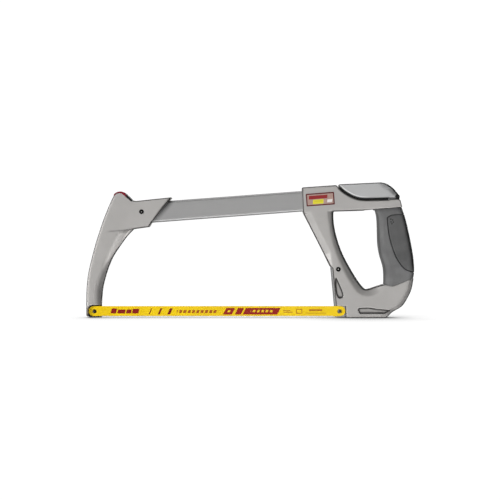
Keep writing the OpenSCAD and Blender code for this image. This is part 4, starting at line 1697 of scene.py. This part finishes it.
@dataclass
class Fastenings:
    """Pins and pegs, each turned about its own line across the saw.

    Args:
        at: The shared places.
        rocker: The rocker, whose pin is among them.
        black: Finish of the headed pins.
        bright: Finish of the hinge pin.
        dull: Finish of the blade pegs, and of the headed pins' centres.
        sides: Number of points round a headed pin.
        play: How far each peg stands outwards from the centre of the blade's hole.
    """

    at: Layout
    rocker: Rocker
    black: bpy.types.Material
    bright: bpy.types.Material
    dull: bpy.types.Material
    sides: int = 48
    play: float = 0.57

    def headed(self, name: str, node: str, at: Point, shank: float, head: float, half: float = 9.5) -> None:
        """A black pin with a low chamfered head each side and a lighter sunk centre.

        Args:
            name: The piece's name.
            node: The CAD node that it stands for.
            at: Its X and Z.
            shank: Its radius inside the casting.
            head: Radius of its heads.
            half: Half the casting's width.
        """
        face = half + 0.49
        near = [(0.02, 0.5 - half), (shank * 0.30, 0.5 - half)]
        near += [(shank * 0.34, -0.30 - half), (shank * 0.42, -face)]
        near_head = [(head - 0.25, -face), (head, -half - 0.25), (head, 0.02 - half)]
        middle = [(shank, 0.04 - half), (shank, half - 0.04)]
        far_head = [(r, -y) for r, y in reversed(near_head)]
        piece = turned(name, at, near + near_head + middle + far_head + [(0.02, face)], self.sides)
        dress(piece, self.black, Body.FRAME, Slot.BLACK, node)
        piece.data.materials.append(self.dull)
        centre = np.zeros(len(piece.data.polygons), np.int32)
        centre[: self.sides] = 1
        piece.data.polygons.foreach_set("material_index", centre)

    def plain(
        self,
        name: str,
        node: str,
        at: Point,
        r: float,
        y0: float,
        y1: float,
        body: Body,
        metal: bpy.types.Material,
    ) -> None:
        """A plain pin with chamfered ends.

        Args:
            name: The piece's name.
            node: The CAD node that it stands for.
            at: Its X and Z.
            r: Its radius.
            y0: Its near end.
            y1: Its far end.
            body: The body that it rides on.
            metal: Its finish.
        """
        chamfer = [(0.02, 0.0), (r - 0.45, 0.0), (r - 0.08, 0.35), (r, 0.6)]
        profile = [(a, y0 + b) for a, b in chamfer] + [(a, y1 - b) for a, b in reversed(chamfer)]
        dress(turned(name, at, profile, 40), metal, body, Slot.BRIGHT, node)

    def build(self) -> None:
        """Makes them all."""
        at, heel = self.at, self.rocker.handle.heel
        x = at.front_x + 58.4
        front, rear = (at.front_x - self.play, at.peg_z), (at.rear_x + self.play, at.peg_z)
        self.headed("arm_cross_pin", "front_tube_pin", (x, at.axis(x) + 1.5), 2.0, 2.9)
        self.headed("rocker_cross_pin", "rocker_pin", self.rocker.pin, 2.35, 2.9)
        self.plain("front_blade_peg", "front_blade_pin", front, 1.5, -2.6, 5.5, Body.FRAME, self.dull)
        self.plain("rear_blade_peg", "rear_blade_pin", rear, 1.5, -2.6, 4.0, Body.HOLDER, self.dull)
        self.plain("lever_hinge_pin", "lever_pin", heel, 1.6, -9.2, 10.2, Body.FRAME, self.bright)


@dataclass
class Studio:
    """Camera, floor, backdrop and lights, in metres.

    Args:
        distance: From the lens to the saw's middle plane.
        aim: X and Z of the point that the camera looks at.
        camera_lift: How far the camera stands above that point.
        lens: The camera's focal length in millimetres.
        white: How bright the floor and the backdrop are.
        shade_reach: How far from an object the floor's shade starts.
        sky: Strength of the light from all round.
        room: Half the floor's width.
        lit: The point that every light faces.
    """

    distance: float = 1.4456
    aim: tuple[float, float] = (-0.0004, 0.0824)
    camera_lift: float = 0.012
    lens: float = 85.0
    white: float = 1.04
    shade_reach: float = 0.14
    sky: float = 0.12
    room: float = 8.0
    lit: tuple[float, float, float] = (0, 0, 0.08)

    def glow(self, name: str, shaded: bool = False) -> bpy.types.Material:
        """A white material that gives its own light.

        Args:
            name: The material's name.
            shaded: Whether it is dimmer close under an object.

        Returns:
            The material.
        """
        g = Graph(name)
        tone = g.mix(g.noise(0.01, 2), grey(0.998), grey(1.0))
        if shaded:
            reach = {"Distance": self.shade_reach}
            open_sky = g.value("AO", "ShaderNodeAmbientOcclusion", reach, samples=12)
            tone = g.mix(open_sky.ramp(0.2, 1.02), grey(0.05), tone)
        return g.surface(
            Base_Color=grey(0.02),
            Roughness=0.9,
            Specular_IOR_Level=0.0,
            Emission_Color=tone,
            Emission_Strength=self.white,
        )

    def sheets(self, name: str, corners: Points, faces: Sequence, material: bpy.types.Material) -> None:
        """A stage piece of flat sheets, which lights nothing and throws no shadow.

        Args:
            name: The piece's name.
            corners: Its corners.
            faces: Its faces, as numbers of corners.
            material: Its finish.
        """
        mesh = bpy.data.meshes.new(name)
        mesh.from_pydata([tuple(c) for c in corners], [], faces)
        mesh.materials.append(material)
        made = bpy.data.objects.new(name, mesh)
        bpy.context.scene.collection.objects.link(made)
        made.visible_diffuse = made.visible_glossy = made.visible_shadow = False

    def walls(self) -> None:
        """Lays the floor and stands the backdrop's four walls round it."""
        r, low, high = self.room, -0.0004, 2 * self.room
        ring = [(-r, -r), (r, -r), (r, r), (-r, r)]
        sides = [(i, (i + 1) % 4, (i + 1) % 4 + 4, i + 4) for i in range(4)]
        floor = [(x, y, low) for x, y in ring]
        corners = [(x, y, z) for z in (low, high) for x, y in ring]
        self.sheets("floor", floor, [(0, 1, 2, 3)], self.glow("studio_floor", True))
        self.sheets("backdrop", corners, sides, self.glow("studio_backdrop"))

    def area(self, name: str, place: Point, size: tuple[float, float], power: float) -> None:
        """A soft rectangular light.

        Args:
            name: The light's name.
            place: Where it stands.
            size: Its width and height.
            power: Its power in watts.
        """
        light = bpy.data.lights.new(name, "AREA")
        light.shape, light.energy = "RECTANGLE", power
        light.size, light.size_y = size
        self.stand(bpy.data.objects.new(name, light), place, self.lit)

    def stand(self, thing: bpy.types.Object, place: Point, aim: Point) -> None:
        """Puts a light or a camera in its place.

        Args:
            thing: The light or camera.
            place: Where it stands.
            aim: The point that it faces.
        """
        thing.location = place
        thing.rotation_mode = "QUATERNION"
        thing.rotation_quaternion = (Vector(aim) - Vector(place)).to_track_quat("-Z", "Y")
        bpy.context.scene.collection.objects.link(thing)

    def camera(self) -> None:
        """Stands the camera square before the saw, a little above the point it looks at."""
        optics = bpy.data.cameras.new("camera")
        optics.lens, optics.sensor_width = self.lens, 36.0
        optics.dof.use_dof = False
        holder = bpy.data.objects.new("camera", optics)
        x, z = self.aim
        self.stand(holder, (x, -self.distance, z + self.camera_lift), (x, 0, z))
        bpy.context.scene.camera = holder

    def build(self) -> None:
        """Sets the stage."""
        scene = bpy.context.scene
        self.camera()
        scene.view_settings.view_transform = "Standard"
        self.walls()
        scene.world = bpy.data.worlds.new("studio")
        scene.world.use_nodes = True
        background = scene.world.node_tree.nodes["Background"].inputs
        background["Color"].default_value = (0.97, 0.98, 1.0, 1)
        background["Strength"].default_value = self.sky
        for name, place, size, power in (
            ("key", (-3.3, -3.6, 0.5), (1.7, 1.7), 150),
            ("front", (0.3, -2.4, 0.3), (1.0, 1.0), 6),
            ("under", (-0.05, -0.9, -1.0), (1.6, 1.0), 14),
            ("top", (0.1, 0.2, 1.6), (1.0, 0.8), 9),
            ("rear_fill", (0.9, 1.6, 0.7), (1.2, 1.0), 42),
        ):
            self.area(name, place, size, power)


def paint_blade(at: Layout) -> None:
    """Paints the blade and the label, whose prints are placed from their boxes.

    Args:
        at: The shared places.
    """
    low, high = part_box("blade")
    repaint("blade", BladePaint("blade_paint", low.z / MM, high.z / MM, at.front_x, at.rear_x).make())
    low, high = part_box("side_label")
    middle = (low + high) / 2 / MM
    repaint("side_label", LabelPrint("label_print", (middle.x, middle.z), at.tilt).make())


def main() -> None:
    logging.basicConfig(level=logging.INFO, format="%(name)s: %(message)s")
    at = Layout.read()
    cast = Cast("cast_paint").make()
    black = Steel("black_oxide", 0.012, 1.0, 0.5, 0.1).make()
    bright = Steel("bright_pin", 0.30, 1.0, 0.34).make()
    dull = Steel("dull_pin", 0.07, 0.8, 0.45).make()
    rubber = Rubber("black_rubber", 0.011, 1.2, 0.55).make()
    palm = Rubber("palm_rubber", 0.108, 1.3, 0.66, moulded=True, dimples=at.hand(PALM_DIMPLES))
    arm, handle = FrontArm(at), Handle(at)
    rocker = Rocker(handle)
    arm.build(cast, NoseStrip("nose_strip", at.front_x + 39).make())
    # The handle's paint is a slightly lighter copy of the arm's, painted lighter to make up for less light on
    # the handle.
    handle.build(Cast("handle_paint", 0.41).make())
    Grip(handle).build(Rubber("grip_rubber", 0.156, moulded=True).make(), palm.make())
    Lever(handle).build(Cast("lever_paint", 0.455, 0.0, 0.38, 0.3, 0.9).make())
    rocker.build(Cast("rocker_paint", 0.36, 0.0, 0.4, 0.35, 0.45).make())
    Spine(at).build(handle, Drawn("tube_finish", at.tube_mid, at.tilt, arm.mouth).make())
    Fastenings(at, rocker, black, bright, dull).build()
    paint_blade(at)
    # The seat is black, and its black also stands in for the shade in the pocket round the blade's front end.
    repaint("front_blade_seat", Rubber("black_seat_and_shade", 0.012, 1.6, 0.45).make())
    repaint("lever_pad", rubber)
    for node in ("push_rod", "lever_cam", "cam_rivets", "seat_screw", "rear_tube_pin"):
        repaint(node, bright)
    repaint("rod_tip", black)
    Studio().build()


if __name__ == "__main__":
    main()
